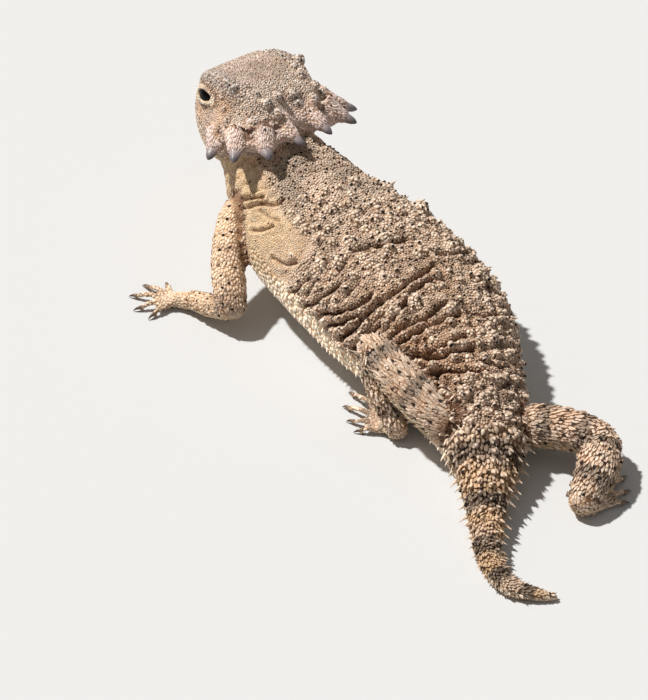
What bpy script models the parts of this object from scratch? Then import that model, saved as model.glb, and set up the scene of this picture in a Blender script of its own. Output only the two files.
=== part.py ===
"""A horned lizard at life size: front raised, back arched low, head turned and tilted, tail tip curled.

All sizes below are in millimetres and become metres when a mesh is made. The floor is z = 0 and the
animal's head lies towards +Y and -X. "Left" and "right" are the animal's own.
"""

import math
import random

import bmesh
import bpy
import numpy as np
from mathutils import Matrix, Vector
from mathutils.bvhtree import BVHTree

MM = 0.001
GAP = 0.3
JOIN_GAP = 0.36
SEED = 20
MODEL_NAME = "horned_lizard"

# Trunk stations from the throat to the tail's tip:
# x, y, z of the centre, half width, rise above it, depth below it, roll towards the right in degrees.
TRUNK = (
    (-31.0, 50.5, 17.5, 6.4, 5.0, 5.4, 9.0),
    (-27.4, 45.4, 16.2, 8.4, 6.6, 6.8, 9.0),
    (-23.6, 39.2, 13.8, 11.4, 8.4, 8.0, 9.0),
    (-18.6, 31.6, 10.8, 14.6, 10.2, 7.6, 8.0),
    (-11.4, 23.6, 8.2, 16.2, 11.8, 6.4, 7.0),
    (-5.4, 16.2, 6.6, 16.3, 12.6, 5.4, 6.0),
    (-0.6, 8.8, 5.6, 15.3, 12.4, 4.6, 5.0),
    (3.4, 0.6, 5.2, 12.5, 11.2, 4.4, 4.0),
    (6.6, -8.0, 5.0, 9.9, 9.0, 4.4, 2.0),
    (8.6, -15.6, 4.8, 7.8, 6.6, 4.3, 0.0),
    (9.3, -22.4, 4.0, 5.6, 4.6, 3.9, 0.0),
    (9.3, -28.5, 3.1, 3.9, 3.1, 3.2, 0.0),
    (9.2, -35.6, 2.3, 2.8, 2.2, 2.4, 0.0),
    (9.8, -43.0, 1.8, 2.2, 1.8, 1.9, 0.0),
    (12.6, -48.9, 1.4, 1.8, 1.5, 1.6, 0.0),
    (17.0, -50.8, 1.1, 1.4, 1.1, 1.2, 0.0),
    (20.8, -51.2, 0.7, 0.7, 0.6, 0.8, 0.0),
)
TRUNK_NODES = ("neck", "torso", "tail_base", "tail_middle", "tail_tip")
TRUNK_CUTS = (0.0, 1.75, 9.7, 11.6, 13.6, 16.0)
TRUNK_SIDES = 24
TRUNK_SPACING = 0.4
BACK_SQUARENESS = 2.2
BELLY_SQUARENESS = 2.6

# The head's own axes: ahead to the snout, left, and up, from the notch between the rear horns.
HEAD_PLACE = (-21.7, 43.2, 22.5)
HEAD_YAW = 47.0
HEAD_PITCH = 0.0
HEAD_ROLL = 12.5

# Head sections from the rear rim to the snout: ahead, crown height, brow half width and height,
# side half width and height, lip half width, mouth height, jaw half width and height, chin height.
HEAD = (
    (-1.2, 1.9, 4.0, 1.9, 9.4, 0.9, 8.2, -1.9, 7.2, -4.4, -5.6),
    (1.2, 3.4, 5.2, 3.3, 11.7, 0.6, 10.0, -2.3, 8.6, -5.4, -6.9),
    (4.2, 5.4, 6.8, 5.6, 12.9, 0.0, 11.2, -2.9, 9.8, -6.2, -7.8),
    (8.2, 6.6, 8.0, 7.2, 12.0, -0.7, 11.4, -3.5, 10.2, -6.6, -8.2),
    (11.4, 6.4, 8.2, 7.4, 10.2, -0.9, 10.4, -3.7, 9.4, -6.5, -8.0),
    (14.4, 6.1, 7.6, 6.9, 8.2, -0.9, 8.8, -3.6, 7.9, -6.2, -7.6),
    (17.2, 5.3, 6.4, 5.3, 6.4, -0.8, 6.8, -3.3, 6.1, -5.6, -6.9),
    (19.2, 3.9, 4.6, 3.5, 4.7, -0.8, 5.0, -3.0, 4.5, -4.9, -6.1),
    (20.8, 2.1, 3.0, 1.6, 3.1, -0.9, 3.4, -2.7, 3.0, -4.2, -5.2),
    (21.8, 0.3, 1.5, 0.1, 1.6, -1.0, 1.8, -2.4, 1.5, -3.4, -4.1),
)
HEAD_STEPS = 2
REAR_LEAN = 5.5
NOTCH_DEPTH = 2.4
NOTCH_HALF_WIDTH = 2.4
LIP_HEIGHT = 0.45
LIP_GROOVE = 0.45
NECK_REACH = 9.0

EYE_CENTRE = (14.9, 5.6, 1.9)
EYE_RADIUS = 2.7
LID_THICKNESS = 0.6
LID_OPENING = (1.75, 1.35)
EYE_LOOK = (0.1, 0.98, 0.16)
EYE_SEGMENTS = 14
EYE_RINGS = 8
NOSTRIL_PLACE = (20.5, 2.6, 1.9)
NOSTRIL_RADIUS = 0.6

# Crown horns of one side: name, root and tip in the head's axes, half width and half thickness.
HORNS = (
    ("horn_occipital", (2.2, 3.7, 1.7), (-4.2, 3.4, 0.5), 2.7, 2.2),
    ("horn_inner", (2.4, 7.8, 1.3), (-3.2, 11.0, -0.3), 3.1, 2.4),
    ("horn_middle", (4.8, 10.0, 0.5), (0.8, 15.7, -1.2), 3.0, 2.4),
    ("horn_outer", (8.8, 9.8, -1.0), (6.8, 14.9, -4.0), 2.9, 2.2),
)
HORN_SIDES = 10
HORN_RINGS = (0.0, 0.3, 0.55, 0.75, 0.9)
HORN_TAPER = 1.25

# Limb paths from the root inside the trunk outwards: x, y, z and radius.
FORELEG_LEFT = (
    (-27.0, 36.0, 14.0, 4.4),
    (-31.4, 32.4, 13.4, 3.9),
    (-33.6, 25.6, 9.4, 3.3),
    (-33.2, 19.0, 4.6, 2.9),
    (-36.6, 21.2, 2.9, 2.4),
    (-40.0, 23.8, 2.0, 1.9),
    (-42.4, 24.6, 1.4, 1.6),
)
FORELEG_RIGHT = (
    (-21.5, 42.0, 12.6, 4.2),
    (-17.4, 45.0, 11.6, 3.8),
    (-12.2, 43.6, 7.8, 3.3),
    (-9.6, 42.2, 4.4, 2.9),
    (-11.2, 46.6, 2.8, 2.4),
    (-13.2, 50.8, 2.0, 1.9),
    (-14.2, 53.0, 1.4, 1.6),
)
HINDLEG_LEFT = (
    (6.5, -14.0, 6.5, 4.6),
    (1.4, -13.6, 8.4, 4.3),
    (-4.4, -8.2, 11.0, 4.0),
    (-9.4, -1.8, 12.6, 3.1),
    (-8.0, -5.6, 7.4, 2.9),
    (-5.4, -9.8, 2.8, 2.2),
    (-6.6, -8.6, 1.6, 1.7),
)
HINDLEG_RIGHT = (
    (9.0, -12.6, 5.2, 4.0),
    (16.4, -13.0, 5.4, 4.0),
    (23.2, -14.4, 5.6, 3.9),
    (28.2, -16.6, 5.0, 3.5),
    (27.8, -22.8, 4.2, 3.7),
    (25.2, -29.4, 2.8, 2.7),
    (27.2, -28.6, 1.6, 1.9),
)
LIMB_SIDES = 12
LIMB_SPACING = 0.33
LIMB_FLATTEN = 0.9
# Rows of a limb's path that carry its upper length and its lower one, ending at a round joint.
UPPER_ROWS = slice(0, 4)
LOWER_ROWS = slice(3, 6)
# The rounding beyond a joint: reach and radius as parts of the limb's radius there.
JOINT_DOME = ((0.45, 0.86), (0.8, 0.5))

# Digits from the inner one outwards: turn from the palm's direction in degrees, and length.
FORE_DIGITS = ((-58.0, 4.0), (-28.0, 5.6), (0.0, 6.4), (26.0, 5.8), (62.0, 4.0))
HIND_DIGITS = ((-40.0, 4.0), (-20.0, 6.0), (-3.0, 8.4), (12.0, 10.6), (58.0, 5.6))
DIGIT_RADIUS = 0.72
DIGIT_SIDES = 6
DIGIT_ARCH = 1.1
DIGIT_TAPER = 0.28
CLAW_LENGTH = 1.3
CLAW_RADIUS = 0.4
CLAW_SIDES = 5
PALM_HALF_WIDTH = 2.3
PALM_LENGTH = 2.6
PALM_SIDES = 10
# Palm sections beyond the path's end: reach in palm lengths, width in half widths, half height.
PALM = ((0.5, 1.0, 1.15), (1.0, 0.95, 0.95), (1.25, 0.6, 0.7))

# Each leg: side, path, names of its lengths, digits, the foot's heading in degrees, and the side
# of the heading on which its inner digit lies.
LEGS = (
    ("left", FORELEG_LEFT, ("upper_arm", "forearm", "hand"), FORE_DIGITS, 165.0, -1),
    ("right", FORELEG_RIGHT, ("upper_arm", "forearm", "hand"), FORE_DIGITS, 95.0, 1),
    ("left", HINDLEG_LEFT, ("thigh", "shank", "foot"), HIND_DIGITS, 138.0, -1),
    ("right", HINDLEG_RIGHT, ("thigh", "shank", "foot"), HIND_DIGITS, 60.0, 1),
)

# Spines: sides, how deep the foot is sunk in radii, and where the waist lies and how wide it is.
SPINE_SIDES = 5
SPINE_SINK = 0.7
SPINE_WAIST = (0.45, 0.6)
SPINE_VARIATION = 0.16
FRINGE_FLATTEN = 0.6

# Rows of spines along the back: angle round the trunk, first and last station, step between
# stations, radius, height and backward lean.
BACK_ROWS = (
    (89.0, 3.3, 9.2, 0.84, 1.1, 1.4, 0.5),
    (119.0, 3.5, 9.4, 0.84, 1.1, 1.4, 0.5),
    (71.0, 3.0, 9.3, 0.84, 1.05, 1.35, 0.5),
    (137.0, 3.2, 9.2, 0.84, 1.05, 1.35, 0.5),
    (52.0, 3.2, 9.0, 0.84, 0.95, 1.25, 0.5),
    (155.0, 3.4, 9.0, 0.84, 0.95, 1.25, 0.5),
    (33.0, 3.6, 8.2, 1.0, 0.8, 1.0, 0.5),
)
# The fringe of flat spines along each side of the belly, and the rows on the tail.
FRINGE_ROWS = (
    (-6.0, 3.3, 8.6, 0.36, 0.85, 1.6, 0.55),
    (186.0, 3.3, 8.6, 0.36, 0.85, 1.6, 0.55),
)
TAIL_ROWS = (
    (8.0, 9.3, 13.4, 0.42, 0.62, 1.4, 0.6),
    (172.0, 9.3, 13.4, 0.42, 0.62, 1.4, 0.6),
    (45.0, 9.6, 13.4, 0.48, 0.6, 1.0, 0.6),
    (90.0, 9.8, 13.4, 0.48, 0.6, 1.0, 0.6),
    (135.0, 9.6, 13.4, 0.48, 0.6, 1.0, 0.6),
)
# Spines on each length of a limb: angle round the limb from its inner side, over its top.
LIMB_ROWS = (20.0, 62.0, 104.0, 146.0)
LIMB_SPINE_STEP = 0.5
LIMB_SPINE = (0.55, 1.0, 0.5)

# Tubercles on each side of the head: section number, place down the half section from the
# crown's middle, radius, height and backward lean.
HEAD_TUBERCLES = (
    (1.9, 1.5, 1.1, 1.3, 0.5),
    (1.8, 0.4, 1.0, 0.9, 0.5),
    (2.7, 1.1, 1.0, 0.9, 0.4),
    (1.0, 1.0, 0.9, 0.9, 0.5),
    (1.5, 2.6, 1.1, 1.2, 0.6),
    (2.1, 3.5, 1.1, 1.1, 0.6),
    (2.9, 4.1, 0.9, 1.0, 0.6),
    (3.3, 2.1, 1.5, 1.7, 0.5),
    (4.3, 2.3, 1.1, 0.9, 0.2),
    (3.8, 4.6, 0.8, 0.9, 0.6),
)

# Base colour and roughness by the first word of a node's name.
LOOKS = {
    "head": ((0.52, 0.42, 0.36), 0.75),
    "eye": ((0.02, 0.015, 0.01), 0.15),
    "horn": ((0.42, 0.36, 0.36), 0.55),
    "neck": ((0.66, 0.58, 0.42), 0.8),
    "tail": ((0.5, 0.38, 0.26), 0.8),
    "skin": ((0.55, 0.46, 0.34), 0.8),
}

FLOOR_CUTTER = 160.0


def along(rows, place):
    """Read the smooth curve through the rows at a fractional row number."""
    rows = np.asarray(rows, dtype=float)
    last = len(rows) - 1
    first = int(min(max(place, 0.0), last - 1e-9))
    part = place - first
    before, here, there, after = (
        rows[min(max(first + step, 0), last)] for step in (-1, 0, 1, 2)
    )
    slope = there - before
    bend = 2 * before - 5 * here + 4 * there - after
    twist = 3 * here - before - 3 * there + after
    return 0.5 * (2 * here + slope * part + bend * part**2 + twist * part**3)


def unit(vector):
    vector = np.asarray(vector, dtype=float)
    return vector / np.linalg.norm(vector)


def power(value, exponent):
    return math.copysign(abs(value) ** exponent, value)


def ease(value, low, high):
    """Go smoothly from 0 at low to 1 at high."""
    part = min(max((value - low) / (high - low), 0.0), 1.0)
    return part * part * (3 - 2 * part)


def path_direction(rows, place, step=0.02):
    """The direction in which the smooth curve through the rows runs."""
    behind = along(rows, max(place - step, 0.0))[:3]
    ahead = along(rows, min(place + step, len(rows) - 1.0))[:3]
    return unit(ahead - behind)


def trunk_frame(place):
    """Centre, left, up and forward directions, and sizes of the trunk at a station number."""
    row = along(TRUNK, place)
    forward = -path_direction(TRUNK, place)
    level_left = unit(np.cross((0.0, 0.0, 1.0), forward))
    level_up = np.cross(forward, level_left)
    roll = math.radians(row[6])
    left = level_left * math.cos(roll) + level_up * math.sin(roll)
    return row[:3], left, np.cross(forward, left), forward, row[3:6]


def trunk_point(place, angle, grow=0.0):
    """A point on the trunk's skin: angle 0 is the left edge, 90 the back and 180 the right edge."""
    centre, left, up, _, (width, rise, depth) = trunk_frame(place)
    across = math.cos(math.radians(angle))
    above = math.sin(math.radians(angle))
    squareness = BACK_SQUARENESS if above >= 0 else BELLY_SQUARENESS
    height = rise if above >= 0 else depth
    out = (width + grow) * power(across, 2 / squareness)
    lift = (height + grow) * power(above, 2 / squareness)
    return centre + left * out + up * lift


def trunk_ring(place, grow=0.0):
    return [trunk_point(place, 360 * side / TRUNK_SIDES, grow) for side in range(TRUNK_SIDES)]


def trunk_rings(start, end, grow=0.0, gap=GAP):
    """Rings of one length of the trunk, whose first cut lies a gap behind its station."""
    count = max(2, round((end - start) / TRUNK_SPACING))
    shift = path_direction(TRUNK, start) * gap
    rings = [[point + shift for point in trunk_ring(start, grow)]]
    for ring in range(1, count + 1):
        rings.append(trunk_ring(start + (end - start) * ring / count, grow))
    return rings


def head_axes():
    """The head's forward, left and up directions."""
    yaw, pitch, roll = (math.radians(turn) for turn in (HEAD_YAW, HEAD_PITCH, HEAD_ROLL))
    level = math.cos(pitch)
    forward = np.array([-math.sin(yaw) * level, math.cos(yaw) * level, math.sin(pitch)])
    level_left = np.array([-math.cos(yaw), -math.sin(yaw), 0.0])
    level_up = np.cross(forward, level_left)
    left = level_left * math.cos(roll) + level_up * math.sin(roll)
    return forward, left, np.cross(forward, left)


def head_direction(vector):
    return sum(axis * size for axis, size in zip(head_axes(), vector))


def head_point(place):
    return np.asarray(HEAD_PLACE) + head_direction(place)


def mirrored(place, side):
    """The same place on the head's left (side 1) or right (side -1)."""
    return (place[0], place[1] * side, place[2])


def head_half_section(place):
    """Points from the crown's middle down the left side to the chin, in the head's axes."""
    row = along(HEAD, place)
    ahead, crown, brow_out, brow_up, side_out, side_up, lip_out, mouth, jaw_out, jaw_up, chin = row
    points = (
        (0.0, crown),
        (brow_out * 0.55, crown + (brow_up - crown) * 0.35),
        (brow_out, brow_up),
        (brow_out * 0.75 + side_out * 0.25, brow_up * 0.62 + side_up * 0.38),
        (brow_out * 0.3 + side_out * 0.7, brow_up * 0.25 + side_up * 0.75),
        (side_out, side_up),
        (lip_out * 0.6 + side_out * 0.4, (side_up + mouth + LIP_HEIGHT) / 2),
        (lip_out, mouth + LIP_HEIGHT),
        (lip_out - LIP_GROOVE, mouth),
        (lip_out - 0.12, mouth - LIP_HEIGHT),
        (jaw_out, jaw_up),
        (jaw_out * 0.6, chin * 0.8 + jaw_up * 0.2),
        (0.0, chin),
    )
    lean = 1 - ease(ahead, HEAD[0][0], NECK_REACH)
    placed = []
    for out, up in points:
        notch = NOTCH_DEPTH * math.exp(-((out / NOTCH_HALF_WIDTH) ** 2))
        drop = REAR_LEAN * ease(-up, 0.6, 5.0)
        placed.append((ahead + lean * (notch + drop), out, up))
    return placed


def head_ring(place):
    half = head_half_section(place)
    other = [mirrored(point, -1) for point in half[-2:0:-1]]
    return [head_point(point) for point in half + other]


def mesh_object(name, shape):
    """Turn a bmesh in millimetres into an object in metres, faces outwards."""
    bmesh.ops.triangulate(shape, faces=shape.faces)
    bmesh.ops.recalc_face_normals(shape, faces=shape.faces)
    if shape.calc_volume(signed=True) < 0:
        bmesh.ops.reverse_faces(shape, faces=shape.faces)
    bmesh.ops.scale(shape, vec=(MM, MM, MM), verts=shape.verts)
    mesh = bpy.data.meshes.new(name)
    shape.to_mesh(mesh)
    shape.free()
    return bpy.data.objects.new(name, mesh)


def loft(name, rings, tip=None):
    """A closed mesh through rings of equal size, with a fan at each end or a point at the last."""
    shape = bmesh.new()
    rows = [[shape.verts.new(tuple(point)) for point in ring] for ring in rings]
    sides = len(rows[0])
    for low, high in zip(rows, rows[1:]):
        for side in range(sides):
            after = (side + 1) % sides
            shape.faces.new((low[side], low[after], high[after], high[side]))
    end_point = np.mean(rings[-1], axis=0) if tip is None else tip
    first = shape.verts.new(tuple(np.mean(rings[0], axis=0)))
    last = shape.verts.new(tuple(end_point))
    for side in range(sides):
        after = (side + 1) % sides
        shape.faces.new((first, rows[0][after], rows[0][side]))
        shape.faces.new((last, rows[-1][side], rows[-1][after]))
    return mesh_object(name, shape)


def round_ring(centre, direction, radius, sides, flatten=1.0, up=(0.0, 0.0, 1.0)):
    """A ring across a direction, flattened towards the up vector."""
    side = unit(np.cross(up, direction))
    top = np.cross(direction, side)
    ring = []
    for step in range(sides):
        turn = 2 * math.pi * step / sides
        out = side * math.cos(turn) + top * flatten * math.sin(turn)
        ring.append(np.asarray(centre) + out * radius)
    return ring


def limb_rings(path, grow=0.0):
    """Rings of one length of a limb, with a dome at its far end."""
    end = len(path) - 1
    count = round(end / LIMB_SPACING)
    rings = []
    for step in range(count + 1):
        place = end * step / count
        row = along(path, place)
        direction = path_direction(path, place)
        rings.append(round_ring(row[:3], direction, row[3] + grow, LIMB_SIDES, LIMB_FLATTEN))
    radius = row[3] + grow
    for reach, width in JOINT_DOME:
        centre = row[:3] + direction * radius * reach
        rings.append(round_ring(centre, direction, radius * width, LIMB_SIDES, LIMB_FLATTEN))
    return rings


def apply_modifiers(thing):
    """Swap the object's mesh for the one that its modifiers make."""
    graph = bpy.context.evaluated_depsgraph_get()
    mesh = bpy.data.meshes.new_from_object(thing.evaluated_get(graph))
    thing.modifiers.clear()
    old = thing.data
    thing.data = mesh
    bpy.data.meshes.remove(old)


def combine(target, tools, operation):
    """Join the tools to the target or cut them from it, and remove them."""
    scene_objects = bpy.context.scene.collection.objects
    scene_objects.link(target)
    group = bpy.data.collections.new("tools")
    bpy.context.scene.collection.children.link(group)
    group.hide_render = True
    for tool in tools:
        tool.display_type = "WIRE"
        tool.hide_render = True
        group.objects.link(tool)
    modifier = target.modifiers.new(operation.lower(), "BOOLEAN")
    modifier.operation = operation
    modifier.operand_type = "COLLECTION"
    modifier.collection = group
    modifier.solver = "EXACT"
    bpy.context.view_layer.update()
    apply_modifiers(target)
    for tool in tools:
        bpy.data.objects.remove(tool, do_unlink=True)
    bpy.data.collections.remove(group)
    scene_objects.unlink(target)


def keep_largest(target):
    """Delete every closed surface of the object but the largest."""
    shape = bmesh.new()
    shape.from_mesh(target.data)
    left = set(shape.faces)
    pieces = []
    while left:
        piece = {left.pop()}
        edge_of_piece = list(piece)
        while edge_of_piece:
            face = edge_of_piece.pop()
            near = {other for edge in face.edges for other in edge.link_faces} & left
            left -= near
            piece |= near
            edge_of_piece.extend(near)
        pieces.append(piece)
    pieces.sort(key=lambda piece: sum(face.calc_area() for face in piece))
    scraps = [face for piece in pieces[:-1] for face in piece]
    bmesh.ops.delete(shape, geom=scraps, context="FACES")
    bmesh.ops.triangulate(shape, faces=shape.faces)
    shape.to_mesh(target.data)
    shape.free()


def cut_from(target, tools):
    combine(target, tools, "DIFFERENCE")
    keep_largest(target)


def clear_scene():
    for thing in list(bpy.data.objects):
        bpy.data.objects.remove(thing, do_unlink=True)


def material(name, colour, roughness):
    made = bpy.data.materials.new(name)
    made.use_nodes = True
    shader = made.node_tree.nodes["Principled BSDF"]
    shader.inputs["Base Color"].default_value = (*colour, 1.0)
    shader.inputs["Roughness"].default_value = roughness
    shader.inputs["Metallic"].default_value = 0.0
    return made


def ball(name, centre, radius, segments=EYE_SEGMENTS, rings=EYE_RINGS):
    shape = bmesh.new()
    bmesh.ops.create_uvsphere(shape, u_segments=segments, v_segments=rings, radius=radius)
    bmesh.ops.translate(shape, vec=tuple(centre), verts=shape.verts)
    return mesh_object(name, shape)


def horn(name, root, tip, half_width, half_thickness, side):
    """A flattened cone with rounded flanks, from inside the head to a point."""
    start = head_point(mirrored(root, side))
    end = head_point(mirrored(tip, side))
    direction = unit(end - start)
    up = head_direction((0.0, 0.0, 1.0))
    rings = []
    for part in HORN_RINGS:
        size = half_width * (1 - part) ** (1 / HORN_TAPER)
        centre = start + (end - start) * part
        rings.append(round_ring(centre, direction, size, HORN_SIDES, half_thickness / half_width, up))
    return loft(name, rings, end)


def trunk_tool():
    """The whole trunk grown by the gap, which cuts whatever meets it."""
    return loft("trunk_tool", trunk_rings(TRUNK_CUTS[0], TRUNK_CUTS[-1], GAP, gap=0.0))


def head_object(name):
    count = (len(HEAD) - 1) * HEAD_STEPS
    return loft(name, [head_ring(step / HEAD_STEPS) for step in range(count + 1)])


def grown(name, source, distance):
    """A copy of a closed object with its surface moved outwards."""
    shape = bmesh.new()
    shape.from_mesh(source.data)
    shape.normal_update()
    moves = [vert.normal * distance * MM for vert in shape.verts]
    for vert, move in zip(shape.verts, moves):
        vert.co += move
    mesh = bpy.data.meshes.new(name)
    shape.to_mesh(mesh)
    shape.free()
    return bpy.data.objects.new(name, mesh)


def eye_and_lids(head, side):
    """Set an eyeball in the head, with a shell of lid round its opening."""
    centre = head_point(mirrored(EYE_CENTRE, side))
    name = "eye_left" if side > 0 else "eye_right"
    combine(head, [ball("lid", centre, EYE_RADIUS + GAP + LID_THICKNESS)], "UNION")
    look = unit(head_direction(mirrored(EYE_LOOK, side)))
    up = head_direction((0.0, 0.0, 1.0))
    wide, high = LID_OPENING
    reaches = (0.5, EYE_RADIUS * 2)
    rings = [round_ring(centre + look * reach, look, wide, 12, high / wide, up) for reach in reaches]
    combine(head, [ball("socket", centre, EYE_RADIUS + GAP)], "DIFFERENCE")
    combine(head, [loft("opening", rings)], "DIFFERENCE")
    return ball(name, centre, EYE_RADIUS)


def digit(root, turn, length, heading, grow=0.0):
    """One toe with its claw: a thin arched cone and a sharper one at its end."""
    angle = heading + math.radians(turn)
    direction = np.array([math.cos(angle), math.sin(angle), 0.0])
    reach = length - CLAW_LENGTH
    rings = []
    for part in (0.0, 0.5, 1.0):
        centre = root + direction * reach * part
        arch = DIGIT_ARCH * math.sin(math.pi * part) * length / 8
        centre[2] = DIGIT_RADIUS * (0.9 - 0.2 * part) + arch
        radius = DIGIT_RADIUS * (1 - DIGIT_TAPER * part) + grow
        rings.append(round_ring(centre, direction, radius, DIGIT_SIDES))
    toe = loft("toe", rings, centre + direction * (CLAW_RADIUS + grow))
    tip = centre + direction * (CLAW_LENGTH + grow)
    tip[2] = 0.12
    start = centre - direction * CLAW_RADIUS
    claw = loft("claw", [round_ring(start, direction, CLAW_RADIUS + grow, CLAW_SIDES)], tip)
    return [toe, claw]


def foot_pieces(name, path, digits, heading, side, grow=0.0):
    """A flattened palm with a rounded heel, and the toes and claws that spread from it."""
    heel, end = np.asarray(path[-2]), np.asarray(path[-1])
    ahead = np.array([math.cos(heading), math.sin(heading), 0.0])
    rings = []
    for reach, size in ((-0.75, 0.5), (0.0, 1.0)):
        centre = heel[:3] + ahead * heel[3] * reach
        centre[2] = heel[3] * 0.85
        rings.append(round_ring(centre, ahead, heel[3] * size + grow, PALM_SIDES, LIMB_FLATTEN))
    rings.append(round_ring(end[:3], ahead, end[3] + grow, PALM_SIDES, LIMB_FLATTEN))
    for part, width, height in PALM:
        centre = end[:3] + ahead * PALM_LENGTH * part
        centre[2] = height * 0.8
        half_width = PALM_HALF_WIDTH * width + grow
        rings.append(round_ring(centre, ahead, half_width, PALM_SIDES, (height + grow) / half_width))
    across = np.array([-math.sin(heading), math.cos(heading), 0.0]) * side
    pieces = [loft(name, rings)]
    for number, (turn, length) in enumerate(digits):
        from_middle = number - 2
        reach = PALM_LENGTH * (0.8 - 0.1 * abs(from_middle))
        root = end[:3] + ahead * reach + across * from_middle * PALM_HALF_WIDTH * 0.36
        pieces += digit(root, turn * side, length, heading, grow)
    return pieces


def leg_nodes(suffix, path, names, digits, heading, side):
    """Upper and lower lengths and the foot of one leg, parted by thin gaps."""
    upper_path, lower_path = path[UPPER_ROWS], path[LOWER_ROWS]
    turn = math.radians(heading)
    upper = loft(f"{names[0]}_{suffix}", limb_rings(upper_path))
    lower = loft(f"{names[1]}_{suffix}", limb_rings(lower_path))
    sole, *toes = foot_pieces(f"{names[2]}_{suffix}", path, digits, turn, side)
    combine(sole, toes, "UNION")
    cut_from(upper, [trunk_tool()])
    upper_tool = loft("upper_tool", limb_rings(upper_path, GAP))
    foot_tools = foot_pieces("foot_tool", path, digits, turn, side, GAP)
    cut_from(lower, [trunk_tool(), upper_tool, *foot_tools])
    cut_from(sole, [trunk_tool()])
    return [upper, lower, sole]


def stand_on_floor(thing):
    """Cut off what dips below the floor, which leaves flats at floor level."""
    if min(vert.co.z for vert in thing.data.vertices) >= 0:
        return
    shape = bmesh.new()
    bmesh.ops.create_cube(shape, size=FLOOR_CUTTER)
    bmesh.ops.translate(shape, vec=(0.0, 0.0, -FLOOR_CUTTER / 2), verts=shape.verts)
    cut_from(thing, [mesh_object("floor", shape)])


def centre_on_floor(things):
    """Move every mesh so that the middle of the whole footprint is the origin."""
    points = [vert.co for thing in things for vert in thing.data.vertices]
    middle_x = (min(point.x for point in points) + max(point.x for point in points)) / 2
    middle_y = (min(point.y for point in points) + max(point.y for point in points)) / 2
    lowest = min(point.z for point in points)
    for thing in things:
        thing.data.transform(Matrix.Translation((-middle_x, -middle_y, -lowest)))


def finish(thing):
    """Give a node its own material and smooth shading."""
    word = thing.name.split("_")[0]
    colour, roughness = LOOKS.get(word, LOOKS["skin"])
    thing.data.materials.clear()
    thing.data.materials.append(material(thing.name, colour, roughness))
    thing.data.shade_smooth()
    thing.data.set_sharp_from_angle(angle=math.radians(50))


def head_and_horns():
    """The head with its eyes, nostrils and horns, and a grown copy that cuts what it meets."""
    head = head_object("head")
    grown_head = grown("grown_head", head, JOIN_GAP)
    made = [head]
    for side, side_name in ((1, "left"), (-1, "right")):
        made.append(eye_and_lids(head, side))
        nostril = ball("nostril", head_point(mirrored(NOSTRIL_PLACE, side)), NOSTRIL_RADIUS, 8, 6)
        combine(head, [nostril], "DIFFERENCE")
        for name, root, tip, half_width, half_thickness in HORNS:
            piece = horn(f"{name}_{side_name}", root, tip, half_width, half_thickness, side)
            cut_from(piece, [grown_head.copy()])
            for other in made:
                if other.name.startswith("horn"):
                    cut_from(piece, [grown("horn_tool", other, JOIN_GAP)])
            made.append(piece)
    keep_largest(head)
    return made, grown_head


def trunk_nodes(grown_head):
    """The neck, the torso and the tail's lengths."""
    made = []
    for name, start, end in zip(TRUNK_NODES, TRUNK_CUTS, TRUNK_CUTS[1:]):
        node = loft(name, trunk_rings(start, end))
        if name in ("neck", "torso"):
            cut_from(node, [grown_head.copy()])
        made.append(node)
    return made


def vary(value, part=SPINE_VARIATION):
    return value * random.uniform(1 - part, 1 + part)


def spine(point, direction, radius, height, up, flatten=1.0):
    """A thorn with hollow flanks, its foot sunk into the surface under it."""
    foot = point - direction * radius * SPINE_SINK
    waist_place, waist_width = SPINE_WAIST
    waist = point + direction * height * waist_place
    rings = [
        round_ring(foot, direction, radius, SPINE_SIDES, flatten, up),
        round_ring(waist, direction, radius * waist_width, SPINE_SIDES, flatten, up),
    ]
    return loft("spine", rings, point + direction * height)


def skin_frame(read, place, turn, turn_step):
    """Point, outward direction and lengthwise direction of a skin that is read at two numbers."""
    lengthwise = read(place + 0.05, turn) - read(place - 0.05, turn)
    crosswise = read(place, turn + turn_step) - read(place, turn - turn_step)
    return read(place, turn), unit(np.cross(lengthwise, crosswise)), unit(lengthwise)


def trunk_spines(rows, start, end, flatten=1.0):
    """Spines of the given rows that stand between two stations: point, direction, size, up."""
    found = []
    for angle, first, last, step, radius, height, lean in rows:
        count = int((last - first) / step + 1.5)
        for number in range(count):
            place = first + step * (number + random.uniform(-0.15, 0.15))
            turn = angle + random.uniform(-2.0, 2.0)
            slimmer = 1 - 0.45 * ease(place, TRUNK_CUTS[2], TRUNK_CUTS[4])
            size = vary(radius) * slimmer, vary(height) * slimmer
            if not start < place < end:
                continue
            point, outward, lengthwise = skin_frame(trunk_point, place, turn, 1.0)
            up = lengthwise if flatten == 1.0 else trunk_frame(place)[2]
            found.append((point, unit(outward + lengthwise * lean), *size, up, flatten))
    return found


def limb_spines(path):
    """Spines over the outer side of one length of a limb."""
    radius, height, lean = LIMB_SPINE
    found = []
    for row, angle in enumerate(LIMB_ROWS):
        for number in range(int((len(path) - 1) / LIMB_SPINE_STEP) + 1):
            place = (number + 0.5 * (row % 2) + random.uniform(-0.2, 0.2)) * LIMB_SPINE_STEP
            place = min(max(place, 0.0), len(path) - 1.0)
            centre, direction = along(path, place), path_direction(path, place)
            turn = math.radians(angle + random.uniform(-6.0, 6.0))
            side = unit(np.cross((0.0, 0.0, 1.0), direction))
            top = np.cross(direction, side) * LIMB_FLATTEN
            outward = side * math.cos(turn) + top * math.sin(turn)
            point = centre[:3] + outward * centre[3]
            lie = unit(unit(outward) + direction * lean)
            found.append((point, lie, vary(radius), vary(height), direction, 1.0))
    return found


def head_skin(place, number):
    """A point on the head's left side, in its own axes, at a fractional point of the section."""
    section = np.asarray(head_half_section(place))
    first = min(int(number), len(section) - 2)
    part = number - first
    return section[first] * (1 - part) + section[first + 1] * part


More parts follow.
